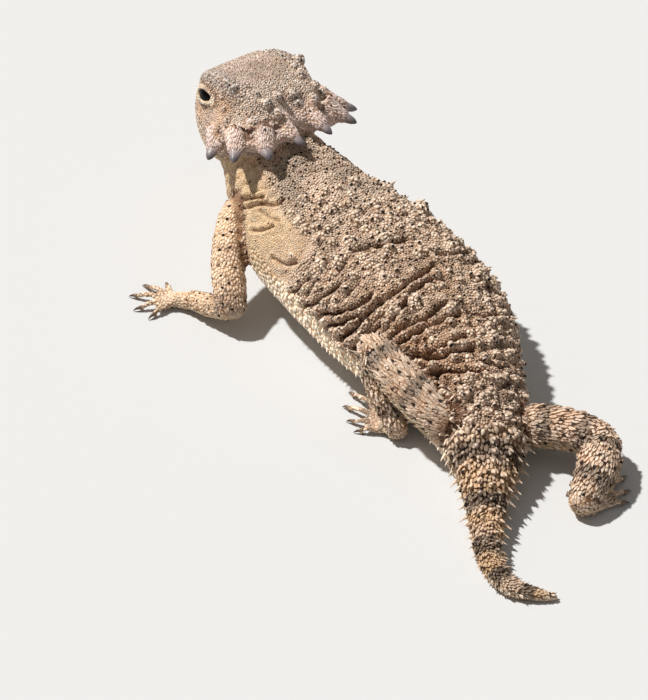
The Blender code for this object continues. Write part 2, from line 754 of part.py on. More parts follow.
def head_spines():
    """The tubercles of both sides of the head."""
    found = []
    for place, number, radius, height, lean in HEAD_TUBERCLES:
        point, outward, lengthwise = skin_frame(head_skin, place, number, 0.1)
        direction = unit(outward - lengthwise * lean)
        for side in (1, -1):
            root = head_point(mirrored(point, side))
            lie = head_direction(mirrored(direction, side))
            found.append((root, lie, vary(radius), vary(height), head_axes()[0], 1.0))
    return found


def tree_of(thing):
    shape = bmesh.new()
    shape.from_mesh(thing.data)
    tree = BVHTree.FromBMesh(shape)
    shape.free()
    return tree


def stands_clear(trees, point, direction, radius, height):
    """Whether a spine here keeps its distance from every other node."""
    for part in (0.0, 0.5, 1.0):
        place = Vector(point + direction * height * part) * MM
        reach = (radius * (1 - part) + JOIN_GAP) * MM
        if any(tree.find_nearest(place, reach)[0] is not None for tree in trees):
            return False
    return True


def add_spines(things):
    """Fuse the spines of every node to it, leaving out those that would touch another node."""
    trees = {thing.name: tree_of(thing) for thing in things}
    wanted = {"head": head_spines()}
    for name, start, end in zip(TRUNK_NODES, TRUNK_CUTS, TRUNK_CUTS[1:]):
        wanted[name] = trunk_spines(BACK_ROWS + TAIL_ROWS, start, end)
        wanted[name] += trunk_spines(FRINGE_ROWS, start, end, FRINGE_FLATTEN)
    for suffix, path, names, *_ in LEGS:
        wanted[f"{names[0]}_{suffix}"] = limb_spines(path[UPPER_ROWS])
        wanted[f"{names[1]}_{suffix}"] = limb_spines(path[LOWER_ROWS])
    for thing in things:
        others = [tree for name, tree in trees.items() if name != thing.name]
        spines = [one for one in wanted.get(thing.name, []) if stands_clear(others, *one[:4])]
        if not spines:
            continue
        combine(thing, [spine(*one) for one in spines], "UNION")
        keep_largest(thing)
        trees[thing.name] = tree_of(thing)


def build():
    clear_scene()
    random.seed(SEED)
    things, grown_head = head_and_horns()
    things += trunk_nodes(grown_head)
    bpy.data.objects.remove(grown_head)
    for leg in LEGS:
        things += leg_nodes(*leg)
    add_spines(things)
    for thing in things:
        stand_on_floor(thing)
        finish(thing)
    centre_on_floor(things)
    parts = bpy.data.collections.new(MODEL_NAME)
    bpy.context.scene.collection.children.link(parts)
    for thing in things:
        parts.objects.link(thing)


build()
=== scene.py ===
"""The looks of the horned lizard: one skin over its solids, scales, spines, horns, eyes and claws.

Sizes are in millimetres in the frame in which the animal was laid out, with the floor at z = 0 and
the head towards +Y and -X. row_points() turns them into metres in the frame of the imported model.
"Left" and "right" are the animal's own.
"""

import math

import bpy
import numpy as np
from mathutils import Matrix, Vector, kdtree


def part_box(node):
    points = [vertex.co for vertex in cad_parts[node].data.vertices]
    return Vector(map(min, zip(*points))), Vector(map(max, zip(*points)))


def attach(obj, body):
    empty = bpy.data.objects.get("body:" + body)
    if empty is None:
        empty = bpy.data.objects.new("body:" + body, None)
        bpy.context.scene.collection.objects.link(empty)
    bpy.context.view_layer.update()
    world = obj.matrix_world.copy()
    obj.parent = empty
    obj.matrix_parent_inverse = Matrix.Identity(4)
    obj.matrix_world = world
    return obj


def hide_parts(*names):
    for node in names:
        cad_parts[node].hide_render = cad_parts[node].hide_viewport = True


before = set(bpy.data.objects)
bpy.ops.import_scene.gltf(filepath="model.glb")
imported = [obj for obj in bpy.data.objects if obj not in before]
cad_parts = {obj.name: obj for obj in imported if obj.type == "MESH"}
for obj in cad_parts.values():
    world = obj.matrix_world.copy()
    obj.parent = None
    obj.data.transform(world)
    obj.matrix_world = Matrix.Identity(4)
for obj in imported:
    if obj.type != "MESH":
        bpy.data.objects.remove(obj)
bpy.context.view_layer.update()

MM = 0.001
SEED = 11
VOXEL = 0.3
SKIN_INSET = 0.25

# Trunk stations from the throat to the tail's tip:
# x, y, z of the centre, half width, rise above it, depth below it, roll towards the right in degrees.
TRUNK = (
    (-31.0, 50.5, 17.5, 6.4, 5.0, 5.4, 9.0),
    (-27.4, 45.4, 16.2, 8.4, 6.6, 6.8, 9.0),
    (-23.6, 39.2, 13.8, 11.4, 8.4, 8.0, 9.0),
    (-18.6, 31.6, 10.8, 14.6, 10.2, 7.6, 8.0),
    (-11.4, 23.6, 8.2, 16.2, 11.8, 6.4, 7.0),
    (-5.4, 16.2, 6.6, 16.3, 12.6, 5.4, 6.0),
    (-0.6, 8.8, 5.6, 15.3, 12.4, 4.6, 5.0),
    (3.4, 0.6, 5.2, 12.5, 11.2, 4.4, 4.0),
    (6.6, -8.0, 5.0, 9.9, 9.0, 4.4, 2.0),
    (8.6, -15.6, 4.8, 7.8, 6.6, 4.3, 0.0),
    (9.3, -22.4, 4.0, 5.6, 4.6, 3.9, 0.0),
    (9.3, -28.5, 3.1, 3.9, 3.1, 3.2, 0.0),
    (9.2, -35.6, 2.3, 2.8, 2.2, 2.4, 0.0),
    (9.8, -43.0, 1.8, 2.2, 1.8, 1.9, 0.0),
    (12.6, -48.9, 1.4, 1.8, 1.5, 1.6, 0.0),
    (17.0, -50.8, 1.1, 1.4, 1.1, 1.2, 0.0),
    (20.8, -51.2, 0.7, 0.7, 0.6, 0.8, 0.0),
)
BACK_SQUARENESS = 2.2
BELLY_SQUARENESS = 2.6

# The head's own axes: ahead to the snout, left, and up, from the notch between the rear horns.
HEAD_PLACE = (-21.7, 43.2, 22.5)
HEAD_YAW = 47.0
HEAD_PITCH = 0.0
HEAD_ROLL = 12.5

# Head sections from the rear rim to the snout: ahead, crown height, brow half width and height,
# side half width and height, lip half width, mouth height, jaw half width and height, chin height.
HEAD = (
    (-1.2, 1.9, 4.0, 1.9, 9.4, 0.9, 8.2, -1.9, 7.2, -4.4, -5.6),
    (1.2, 3.4, 5.2, 3.3, 11.7, 0.6, 10.0, -2.3, 8.6, -5.4, -6.9),
    (4.2, 5.4, 6.8, 5.6, 12.9, 0.0, 11.2, -2.9, 9.8, -6.2, -7.8),
    (8.2, 6.6, 8.0, 7.2, 12.0, -0.7, 11.4, -3.5, 10.2, -6.6, -8.2),
    (11.4, 6.4, 8.2, 7.4, 10.2, -0.9, 10.4, -3.7, 9.4, -6.5, -8.0),
    (14.4, 6.1, 7.6, 6.9, 8.2, -0.9, 8.8, -3.6, 7.9, -6.2, -7.6),
    (17.2, 5.3, 6.4, 5.3, 6.4, -0.8, 6.8, -3.3, 6.1, -5.6, -6.9),
    (19.2, 3.9, 4.6, 3.5, 4.7, -0.8, 5.0, -3.0, 4.5, -4.9, -6.1),
    (20.8, 2.1, 3.0, 1.6, 3.1, -0.9, 3.4, -2.7, 3.0, -4.2, -5.2),
    (21.8, 0.3, 1.5, 0.1, 1.6, -1.0, 1.8, -2.4, 1.5, -3.4, -4.1),
)
REAR_LEAN = 5.5
NOTCH_DEPTH = 2.4
NOTCH_HALF_WIDTH = 2.4
LIP_HEIGHT = 0.45
LIP_GROOVE = 0.7
NECK_REACH = 9.0
HEAD_RING = 24

EYE_CENTRE = (14.9, 5.6, 1.9)
EYE_RADIUS = 2.7
LID_BALL = 3.3
LID_OPENING = (1.5, 0.88)
EYE_LOOK = (0.1, 0.98, 0.16)
NOSTRIL_PLACE = (20.5, 2.6, 1.9)
NOSTRIL_RADIUS = 0.55

# Crown horns of one side: name, root and tip in the head's axes, half width and half thickness.
HORNS = (
    ("horn_occipital", (2.2, 3.7, 1.7), (-4.2, 3.4, 0.5), 2.7, 2.2),
    ("horn_inner", (2.4, 7.8, 1.3), (-3.2, 11.0, -0.3), 3.1, 2.4),
    ("horn_middle", (4.8, 10.0, 0.5), (0.8, 15.7, -1.2), 3.0, 2.4),
    ("horn_outer", (8.8, 9.8, -1.0), (6.8, 14.9, -4.0), 2.9, 2.2),
)
HORN_TAPER = 1.25
HORN_SLIM = 0.55
# How much of each horn the scaly skin covers.
HORN_SLEEVE = 0.7

# Limb paths from the root inside the trunk outwards: x, y, z and radius.
FORELEG_LEFT = (
    (-27.0, 36.0, 14.0, 4.4),
    (-31.4, 32.4, 13.4, 3.9),
    (-33.6, 25.6, 9.4, 3.3),
    (-33.2, 19.0, 4.6, 2.9),
    (-36.6, 21.2, 2.9, 2.4),
    (-40.0, 23.8, 2.0, 1.9),
    (-42.4, 24.6, 1.4, 1.6),
)
FORELEG_RIGHT = (
    (-21.5, 42.0, 12.6, 4.2),
    (-17.4, 45.0, 11.6, 3.8),
    (-12.2, 43.6, 7.8, 3.3),
    (-9.6, 42.2, 4.4, 2.9),
    (-11.2, 46.6, 2.8, 2.4),
    (-13.2, 50.8, 2.0, 1.9),
    (-14.2, 53.0, 1.4, 1.6),
)
HINDLEG_LEFT = (
    (6.5, -14.0, 6.5, 4.6),
    (1.4, -13.6, 8.4, 4.3),
    (-4.4, -8.2, 11.0, 4.0),
    (-9.4, -1.8, 12.6, 3.1),
    (-8.0, -5.6, 7.4, 2.9),
    (-5.4, -9.8, 2.8, 2.2),
    (-6.6, -8.6, 1.6, 1.7),
)
HINDLEG_RIGHT = (
    (9.0, -12.6, 5.2, 4.0),
    (16.4, -13.0, 5.4, 4.0),
    (23.2, -14.4, 5.6, 3.9),
    (28.2, -16.6, 5.0, 3.5),
    (27.8, -22.8, 4.2, 3.7),
    (25.2, -29.4, 2.8, 2.7),
    (27.2, -28.6, 1.6, 1.9),
)
LIMB_FLATTEN = 0.9
UPPER_ROWS = slice(0, 4)
LOWER_ROWS = slice(3, 6)
JOINT_DOME = ((0.45, 0.86), (0.8, 0.5))

# Digits from the inner one outwards: turn from the palm's direction in degrees, and length.
FORE_DIGITS = ((-58.0, 4.0), (-28.0, 5.6), (0.0, 6.4), (26.0, 5.8), (62.0, 4.0))
HIND_DIGITS = ((-40.0, 4.0), (-20.0, 6.0), (-3.0, 8.4), (12.0, 10.6), (58.0, 5.6))
DIGIT_RADIUS = 0.72
DIGIT_ARCH = 1.1
DIGIT_TAPER = 0.28
CLAW_LENGTH = 1.3
CLAW_RADIUS = 0.4
PALM_HALF_WIDTH = 2.3
PALM_LENGTH = 2.6
# Palm sections beyond the path's end: reach in palm lengths, width in half widths, half height.
PALM = ((0.5, 1.0, 1.15), (1.0, 0.95, 0.95), (1.25, 0.6, 0.7))

# Each leg: path, digits, the foot's heading in degrees, and the side of its inner digit.
LEGS = (
    (FORELEG_LEFT, FORE_DIGITS, 165.0, -1),
    (FORELEG_RIGHT, FORE_DIGITS, 95.0, 1),
    (HINDLEG_LEFT, HIND_DIGITS, 138.0, -1),
    (HINDLEG_RIGHT, HIND_DIGITS, 60.0, 1),
)

MOUND_SPACING = 1.9
JUNCTION_WIDTH = 0.75
JUNCTION_DEPTH = 0.8

# Numbers of body parts that meet in a crease: the horns' first, then all the pairs.
FIRST_HORN = 10
MEETINGS = (
    *((0, part) for part in range(1, 9)),
    *((part, part + 1) for part in (1, 3, 5, 7, 10, 11, 12, 14, 15, 16)),
    (10, 14),
)

# A distance between dark-tipped scales that leaves none.
NO_SPECKS = math.inf

# What the light loses in the gaps between scales.
GAP_TINT = np.array([1.0, 0.8, 0.62])

# What a point of the skin belongs to.
TRUNK_KIND, HEAD_KIND, LIMB_KIND, FOOT_KIND, HORN_KIND = range(5)

# Creases of the trunk's skin: depth, half width, and their lines as station and angle.
CREASES = (
    (1.5, 0.5, ((5.6, 12), (5.8, 30), (5.8, 47), (5.76, 68), (5.62, 88), (5.45, 97))),
    (1.2, 0.45, ((4.8, 15), (5.2, 28), (5.5, 44), (5.5, 54))),
    (0.9, 0.42, ((4.3, 66), (4.45, 75), (4.58, 86), (4.66, 94))),
    (1.5, 0.5, ((6.62, 36), (6.64, 56), (6.7, 71), (6.56, 90))),
    (1.1, 0.42, ((6.86, 42), (6.9, 62), (6.88, 83), (6.84, 94))),
    (1.6, 0.52, ((7.15, 44), (7.42, 54), (7.58, 66), (7.6, 83), (7.6, 95))),
    (1.0, 0.42, ((7.4, 58), (7.42, 74), (7.3, 94))),
    (1.0, 0.45, ((7.68, 44), (7.92, 68), (8.14, 96))),
    (1.3, 0.55, ((7.85, 56), (8.3, 47), (8.6, 36), (8.9, 23))),
    (1.2, 0.42, ((6.34, 54), (6.2, 65), (5.95, 77), (5.85, 90))),
    (1.0, 0.45, ((5.1, 12), (5.4, 22), (5.66, 36))),
    (0.9, 0.42, ((4.3, 8), (4.5, 18), (4.62, 30), (4.7, 42))),
    (0.8, 0.42, ((3.85, 6), (4.0, 16), (4.06, 28))),
    (0.6, 0.4, ((3.28, 15), (3.5, 20), (3.62, 28))),
    (1.0, 0.45, ((6.05, 14), (6.2, 26), (6.25, 42))),
    (0.8, 0.36, ((1.84, -7), (2.16, 20), (2.3, 32), (2.4, 41))),
    (0.7, 0.34, ((2.46, 37), (2.68, 48), (2.66, 57))),
    (0.6, 0.32, ((1.8, -22), (2.3, 14), (2.42, 29), (2.5, 36))),
    (0.4, 0.3, ((2.5, 29), (2.78, 37), (2.96, 42))),
    (0.6, 0.34, ((2.74, 14), (2.82, 19), (2.9, 27), (2.96, 35))),
    (0.9, 0.4, ((1.5, 120), (2.1, 122), (2.7, 126))),
    (1.0, 0.5, ((2.3, 176), (2.7, 160), (3.0, 146))),
    (0.9, 0.45, ((5.0, 168), (5.1, 150), (5.05, 132))),
    (0.9, 0.45, ((6.1, 170), (6.2, 150), (6.1, 128))),
    (0.9, 0.45, ((7.0, 165), (7.1, 146), (7.0, 128))),
    (0.8, 0.4, ((5.2, 104), (5.25, 118), (5.2, 132))),
    (0.9, 0.4, ((6.8, 100), (6.9, 114), (6.8, 130))),
    (0.8, 0.4, ((7.9, 100), (8.0, 116), (7.9, 134))),
)

# Enlarged spines with a dark blotch behind them, partly the animal's own marking and partly the painted
# shadow of the spine: station, angle, radius and height of the spine, radius and strength of the blotch.
BLOTCH_SPINES = (
    (4.24, 68, 1.15, 1.5, 2.3, 0.8),
    (4.40, 89, 1.2, 1.6, 2.4, 0.9),
    (6.32, 56, 1.15, 1.4, 2.3, 0.85),
    (6.40, 77, 1.2, 1.6, 2.4, 0.95),
    (6.48, 90, 1.2, 1.7, 2.4, 1.0),
    (3.92, 140, 1.1, 1.5, 2.4, 0.9),
    (5.04, 122, 1.2, 1.6, 2.6, 0.9),
    (6.08, 122, 1.2, 1.6, 2.6, 0.95),
    (7.28, 116, 1.1, 1.4, 2.6, 0.95),
    (8.16, 113, 1.1, 1.3, 2.6, 0.95),
    (8.3, 78, 1.0, 1.2, 1.8, 0.6),
    (3.3, 78, 1.1, 1.4, 1.7, 0.5),
    (3.25, 52, 0.9, 1.1, 1.6, 0.55),
    (3.0, 66, 0.9, 1.1, 1.4, 0.5),
    (3.9, 46, 1.0, 1.3, 1.6, 0.55),
    (5.3, 70, 1.0, 1.3, 1.3, 0.4),
    (5.25, 92, 1.0, 1.3, 1.3, 0.4),
)
# Other rows of spines: angle, first and last station, step, radius, height and backward lean.
BACK_ROWS = (
    (104, 3.2, 9.0, 0.42, 0.5, 0.7, 0.6),
    (89, 3.7, 9.2, 0.74, 0.85, 1.15, 0.5),
    (119, 3.5, 9.4, 0.62, 0.85, 1.2, 0.5),
    (71, 3.5, 9.3, 0.7, 0.8, 1.1, 0.5),
    (137, 3.2, 9.2, 0.62, 0.85, 1.2, 0.5),
    (52, 3.5, 9.0, 0.66, 0.75, 1.0, 0.5),
    (155, 3.4, 9.0, 0.62, 0.8, 1.15, 0.5),
    (33, 3.6, 8.2, 0.7, 0.65, 0.85, 0.5),
    (170, 3.4, 8.6, 0.6, 0.6, 0.8, 0.5),
)
FRINGE_ROWS = (
    (-7, 3.4, 8.6, 0.15, 0.42, 0.75, 0.9),
    (186, 3.3, 8.6, 0.17, 0.5, 1.2, 0.7),
    (4, 3.5, 8.6, 0.16, 0.4, 0.6, 0.9),
    (178, 3.4, 8.6, 0.2, 0.4, 0.8, 0.8),
)
TAIL_ROWS = (
    (4, 8.6, 14.6, 0.3, 0.6, 1.6, 0.8),
    (176, 8.6, 14.6, 0.3, 0.65, 2.0, 0.7),
    (26, 8.4, 14.4, 0.32, 0.6, 1.1, 0.8),
    (50, 8.3, 14.4, 0.34, 0.65, 1.2, 0.7),
    (76, 8.2, 14.4, 0.34, 0.7, 1.25, 0.7),
    (102, 8.3, 14.4, 0.34, 0.7, 1.25, 0.7),
    (128, 8.2, 14.4, 0.34, 0.65, 1.25, 0.7),
    (154, 8.4, 14.4, 0.32, 0.6, 1.2, 0.8),
)
# Spines on a limb: angle round it from its inner side, over its top, and the step along it.
LIMB_ROWS = (4, 28, 52, 76, 100, 124, 148, 172)
LIMB_STEP = 0.3
# Their radius, height and lean on the forelegs and on the hind legs.
LIMB_SPINES = ((0.36, 0.45, 0.9), (0.42, 1.0, 0.9))
# How much longer the spines along the limbs' two edges are.
EDGE_GROWTH = (1.0, 1.8)

# Tubercles of the head: side, section, place down the half section from the crown's middle,
# radius, height, and how dark.
TUBERCLES = (
    (1, 1.9, 1.5, 0.95, 1.1, 0.7),
    (1, 1.9, 0.4, 0.8, 0.9, 0.25),
    (-1, 1.7, 0.5, 0.95, 1.0, 0.85),
    (-1, 1.2, 0.6, 0.75, 0.8, 0.4),
    (1, 1.3, 1.5, 0.9, 1.1, 0.1),
    (1, 1.8, 3.2, 0.9, 1.0, 0.4),
    (1, 2.5, 1.4, 0.6, 0.6, 0.35),
    (1, 2.7, 4.4, 0.6, 0.7, 0.1),
    (1, 2.9, 3.8, 0.55, 0.6, 0.1),
    (-1, 1.3, 1.6, 0.8, 1.0, 0.3),
    (-1, 1.9, 2.3, 0.8, 0.9, 0.3),
    (-1, 1.8, 3.2, 0.9, 1.0, 0.3),
    (-1, 2.5, 1.4, 0.7, 0.7, 0.3),
    (-1, 2.7, 4.4, 0.6, 0.7, 0.1),
    (1, 3.0, 1.4, 0.5, 0.5, 0.6),
    (1, 1.5, 2.6, 0.5, 0.5, 0.2),
    (1, 3.3, 2.1, 0.9, 0.5, 0.3),
    (1, 3.8, 2.1, 0.8, 0.35, 0.2),
    (-1, 3.2, 2.0, 1.0, 1.0, 0.1),
    (1, 3.4, 3.4, 0.5, 0.5, 0.1),
    (-1, 3.4, 3.4, 0.5, 0.5, 0.1),
    (1, 3.9, 3.0, 0.45, 0.4, 0.1),
    (-1, 3.0, 1.4, 0.5, 0.5, 0.5),
)
# Head sections between which the brow's larger scales lie.
BROW_SCALES = (2.6, 7.4)

# Tail stations of the dark bars, and their half width.
TAIL_BARS = (9.92, 11.36, 12.72, 13.76, 14.8)
TAIL_BAR_WIDTH = 0.26

# How the spines of a row are strewn: steps along, degrees across, and the least and greatest size.
ROW_SHAKE = 0.22
TURN_SHAKE = 3.5
SPINE_SIZES = (0.78, 1.2)
# Rings of a spine from its sunk foot up: height and width as parts of the whole spine's.
THORN_RINGS = ((-0.25, 1.08), (0.12, 0.82), (0.45, 0.46), (0.78, 0.2))
# Spines on mounds: their radius and height as parts of the mound's.
CAP_SIZE = {"tubercles": (0.4, 0.35), "spines_back": (0.6, 0.75)}
# The skin's mounds under spines: reach in the spine's radii, lift in its heights, and steepness.
MOUND_FORMS = {
    "big": (1.9, 0.85, 2),
    "small": (1.9, 0.6, 2),
    "rough": (1.0, 1.0, 2),
    "heads": (1.05, 0.95, 1),
    "tail": (1.7, 0.28, 2),
}
SKIN_UNEVENNESS = 0.16
# A blotch, partly painted shadow, lies this far behind its spine, in stations, and this far over, in degrees.
BLOTCH_BEHIND = 0.14
BLOTCH_OVER = 7.0

# Scales by region: spacing, height, keel, overlap, drawn-out length, flatness, how light the painted shade
# in the gap round each scale leaves it, how much longer than wide they are, how far apart the dark-tipped
# ones stand, and how much larger than the others those are.
SCALE_FORMS = {
    "back": (0.35, 0.14, 0.5, 0.45, 0.15, 0.3, 0.46, 1.0, 1.15, 1.45),
    "throat": (0.3, 0.035, 0.0, 0.3, 0.0, 1.0, 0.85, 1.0, 2.4, 1.0),
    "belly": (0.6, 0.1, 0.1, 0.7, 0.0, 0.8, 0.92, 1.15, NO_SPECKS, 1.0),
    "tail": (0.5, 0.34, 1.0, 0.95, 0.45, 0.0, 0.32, 1.6, 2.6, 1.0),
    "head": (0.3, 0.07, 0.05, 0.15, 0.0, 0.8, 0.68, 1.0, 0.66, 1.0),
    "lips": (0.5, 0.1, 0.05, 0.2, 0.0, 0.9, 0.66, 1.0, 1.5, 1.0),
    "brow": (0.42, 0.12, 0.1, 0.2, 0.0, 0.7, 0.64, 1.0, 1.0, 1.0),
    "foreleg": (0.42, 0.1, 0.7, 0.9, 0.1, 0.0, 0.74, 1.3, 1.45, 1.15),
    "hindleg": (0.42, 0.27, 0.9, 0.9, 0.5, 0.0, 0.4, 2.1, 2.0, 1.2),
    "foot": (0.38, 0.12, 0.3, 0.7, 0.1, 0.3, 0.5, 1.1, 2.6, 1.0),
    "horn": (0.26, 0.1, 0.8, 0.9, 0.3, 0.0, 0.66, 2.6, 2.6, 1.0),
}
FORM_KEYS = ("size", "height", "keel", "overlap", "long", "plate", "gap", "stretch", "apart", "grown")
SCALE_SIDES = 7
# No scale has its root nearer to the floor than this.
FLOOR_GAP = 0.12
# Pieces whose keeled scales show their facets.
CRISP_PIECES = ("coat_tail", "coat_hindlegs")
# The width of a scale's patch on its map.
PATCH = 0.003

SIDES = ((1, "left"), (-1, "right"))
# The model's nodes that the skin and the coat dress.
BODY = ("neck", "torso")
TAIL = ("tail_base", "tail_middle", "tail_tip")
FRONT = ("upper_arm_left", "upper_arm_right", "forearm_left", "forearm_right", "hand_left", "hand_right")
HIND = ("thigh_left", "thigh_right", "shank_left", "shank_right", "foot_left", "foot_right")
FLESH = ("head", *BODY, *TAIL, *FRONT, *HIND)
FEET = (*FRONT[-2:], *HIND[-2:])

# The camera's tilt in degrees, its distance in metres and its target.
# Then the way of the sun's light, and how wide the sun looks in degrees.
CAMERA_TILT = 40.0
CAMERA_DISTANCE = 3.0
CAMERA_LENS = 925.7
CAMERA_TARGET = (-17.667, -1.335, 12.0)
SUN_TRAVEL = (0.5, -0.26, -0.83)
SUN_STRENGTH = 4.8
SUN_WIDTH = 3.0
SUN_COLOUR = (1.0, 0.965, 0.91)
STUDIO_STRENGTH = 0.25
STUDIO_COLOUR = (0.98, 0.93, 0.88, 1.0)
FLOOR_HALF_WIDTH = 3.0


def srgb(red, green, blue):
    """A colour given from 0 to 255 as the light's own values."""
    scaled = (value / 255 for value in (red, green, blue))
    return np.array([v / 12.92 if v <= 0.04045 else ((v + 0.055) / 1.055) ** 2.4 for v in scaled])


SAND = srgb(221, 194, 171)
PALE = srgb(239, 220, 202)
BELLY = srgb(255, 238, 216)
CREAM = srgb(216, 193, 158)
ORANGE = srgb(208, 152, 104)
TAN = srgb(206, 166, 120)
GREY = srgb(158, 143, 128)
BROWN = srgb(104, 82, 66)
INK = srgb(34, 26, 24)
HOLLOW_SHADE = srgb(157, 131, 109)
PINK = srgb(206, 188, 177)
HEAD_PALE = srgb(222, 206, 192)
TEMPLE = srgb(230, 216, 204)
HORN_BASE = srgb(238, 217, 210)
HORN_TIP = srgb(136, 126, 130)
FRECKLE = srgb(170, 138, 112)
CHEEK = srgb(226, 184, 142)
BROW = srgb(196, 190, 188)
LID = srgb(246, 238, 224)
ELBOW = srgb(146, 126, 108)
FORELEG = srgb(246, 220, 192)
LIMB_BAND = srgb(88, 76, 68)
TAIL_BAND = srgb(62, 54, 50)
SLEEVE_TIP = srgb(196, 176, 172)
CREASE_SHADE = srgb(126, 84, 58)
KNOB_FOOT_SHADE = srgb(158, 112, 80)
KNOB_CAP = srgb(214, 207, 203)
FLOOR_GREY = srgb(200, 202, 205)

# Colours of horns and claws from the root at 0 to the tip at 1, and of an eye from its middle out.
HORN_STOPS = ((0.1, HORN_BASE), (0.42, srgb(190, 170, 162)), (0.72, HORN_TIP), (1.0, srgb(90, 84, 90)))
CLAW_STOPS = ((0.0, srgb(150, 124, 98)), (0.6, srgb(96, 74, 58)), (1.0, srgb(52, 40, 34)))
EYE_STOPS = (
    (0.0, srgb(6, 5, 5)),
    (0.42, srgb(8, 6, 5)),
    (0.47, srgb(84, 58, 30)),
    (0.53, srgb(30, 19, 14)),
    (0.75, srgb(20, 14, 12)),
    (1.0, srgb(14, 10, 9)),
)


def unit(vectors):
    vectors = np.asarray(vectors, dtype=float)
    length = np.linalg.norm(vectors, axis=-1, keepdims=True)
    return vectors / np.maximum(length, 1e-9)


def ease(value, low, high):
    """Go smoothly from 0 at low to 1 at high."""
    part = np.clip((np.asarray(value, dtype=float) - low) / (high - low), 0.0, 1.0)
    return part * part * (3 - 2 * part)


def within(value, low, full, fading, gone):
    """Go smoothly from 0 at low to 1 at full, and back to 0 from fading to gone."""
    return ease(value, low, full) * (1 - ease(value, fading, gone))


def curve(before, here, there, after, part):
    """Read a smooth curve through four rows part of the way from the second to the third."""
    slope = there - before
    bend = 2 * before - 5 * here + 4 * there - after
    twist = 3 * here - before - 3 * there + after
    return 0.5 * (2 * here + slope * part + bend * part**2 + twist * part**3)


def along(rows, place):
    """Read the smooth curve through the rows at fractional row numbers."""
    rows = np.asarray(rows, dtype=float)
    place = np.asarray(place, dtype=float)
    last = len(rows) - 1
    first = np.clip(place, 0.0, last - 1e-9).astype(int)
    near = (rows[np.clip(first + step, 0, last)] for step in (-1, 0, 1, 2))
    return curve(*near, (place - first)[..., None])


def path_direction(rows, place, step=0.02):
    """The direction in which the smooth curve through the rows runs."""
    behind = along(rows, np.maximum(np.asarray(place) - step, 0.0))[..., :3]
    ahead = along(rows, np.minimum(np.asarray(place) + step, len(rows) - 1.0))[..., :3]
    return unit(ahead - behind)


def noise(points, scale, seed=0):
    """Smooth random values from 0 to 1 through space, about one bump to each scale."""
    grid = np.asarray(points) / scale + seed * 17.31
    cell = np.floor(grid).astype(np.int64)
    part = grid - cell
    part = part * part * (3 - 2 * part)
    total = np.zeros(len(grid))
    for corner in np.ndindex(2, 2, 2):
        number = (cell + corner) @ np.array([73856093, 19349663, 83492791])
        number = (number ^ (number >> 13)) * 1274126177
        value = ((number ^ (number >> 16)) & 65535) / 65535
        weight = np.where(corner, part, 1 - part).prod(axis=1)
        total += weight * value
    return total


def layered_noise(points, scale, seed=0):
    return 0.6 * noise(points, scale, seed) + 0.4 * noise(points, scale * 0.45, seed + 5)


def trunk_skin(place, angle):
    """Points on the trunk's skin: angle 0 is the left edge, 90 the back and 180 the right edge."""
    row = along(TRUNK, place)
    forward = -path_direction(TRUNK, place)
    level_left = unit(np.cross((0.0, 0.0, 1.0), forward))
    level_up = np.cross(forward, level_left)
    roll = np.radians(row[..., 6:7])
    left = level_left * np.cos(roll) + level_up * np.sin(roll)
    up = np.cross(forward, left)
    across, above = np.cos(np.radians(angle)), np.sin(np.radians(angle))
    power = 2 / np.where(above >= 0, BACK_SQUARENESS, BELLY_SQUARENESS)
    height = np.where(above >= 0, row[..., 4], row[..., 5])
    out = row[..., 3] * np.sign(across) * np.abs(across) ** power
    lift = height * np.sign(above) * np.abs(above) ** power
    return row[..., :3] + left * out[..., None] + up * lift[..., None]


def head_axes():
    """The head's forward, left and up directions."""
    yaw, pitch, roll = (math.radians(turn) for turn in (HEAD_YAW, HEAD_PITCH, HEAD_ROLL))
    level = math.cos(pitch)
    forward = np.array([-math.sin(yaw) * level, math.cos(yaw) * level, math.sin(pitch)])
    level_left = np.array([-math.cos(yaw), -math.sin(yaw), 0.0])
    level_up = np.cross(forward, level_left)
    left = level_left * math.cos(roll) + level_up * math.sin(roll)
    return np.array([forward, left, np.cross(forward, left)])


def head_direction(vectors):
    return np.asarray(vectors, dtype=float) @ head_axes()


def head_point(places):
    return np.asarray(HEAD_PLACE) + head_direction(places)


def mirrored(place, side):
    """The same place on the head's left (side 1) or right (side -1)."""
    return (place[0], place[1] * side, place[2])


def head_half_sections(place):
    """Points from the crown's middle down the left side to the chin, in the head's axes."""
    ahead, crown, brow_out, brow_up, side_out, side_up, lip_out, mouth, jaw_out, jaw_up, chin = (
        along(HEAD, place).T
    )
    nothing = np.zeros_like(ahead)
    points = (
        (nothing, crown),
        (brow_out * 0.55, crown + (brow_up - crown) * 0.35),
        (brow_out, brow_up),
        (brow_out * 0.75 + side_out * 0.25, brow_up * 0.62 + side_up * 0.38),
        (brow_out * 0.3 + side_out * 0.7, brow_up * 0.25 + side_up * 0.75),
        (side_out, side_up),
        (lip_out * 0.6 + side_out * 0.4, (side_up + mouth + LIP_HEIGHT) / 2),
        (lip_out, mouth + LIP_HEIGHT),
        (lip_out - LIP_GROOVE, mouth),
        (lip_out - 0.12, mouth - LIP_HEIGHT),
        (jaw_out, jaw_up),
        (jaw_out * 0.6, chin * 0.8 + jaw_up * 0.2),
        (nothing, chin),
    )
    lean = 1 - ease(ahead, HEAD[0][0], NECK_REACH)
    placed = []
    for out, up in points:
        notch = NOTCH_DEPTH * np.exp(-((out / NOTCH_HALF_WIDTH) ** 2))
        drop = REAR_LEAN * ease(-up, 0.6, 5.0)
        placed.append(np.stack([ahead + lean * (notch + drop), out, up], axis=-1))
    return np.stack(placed, axis=1)


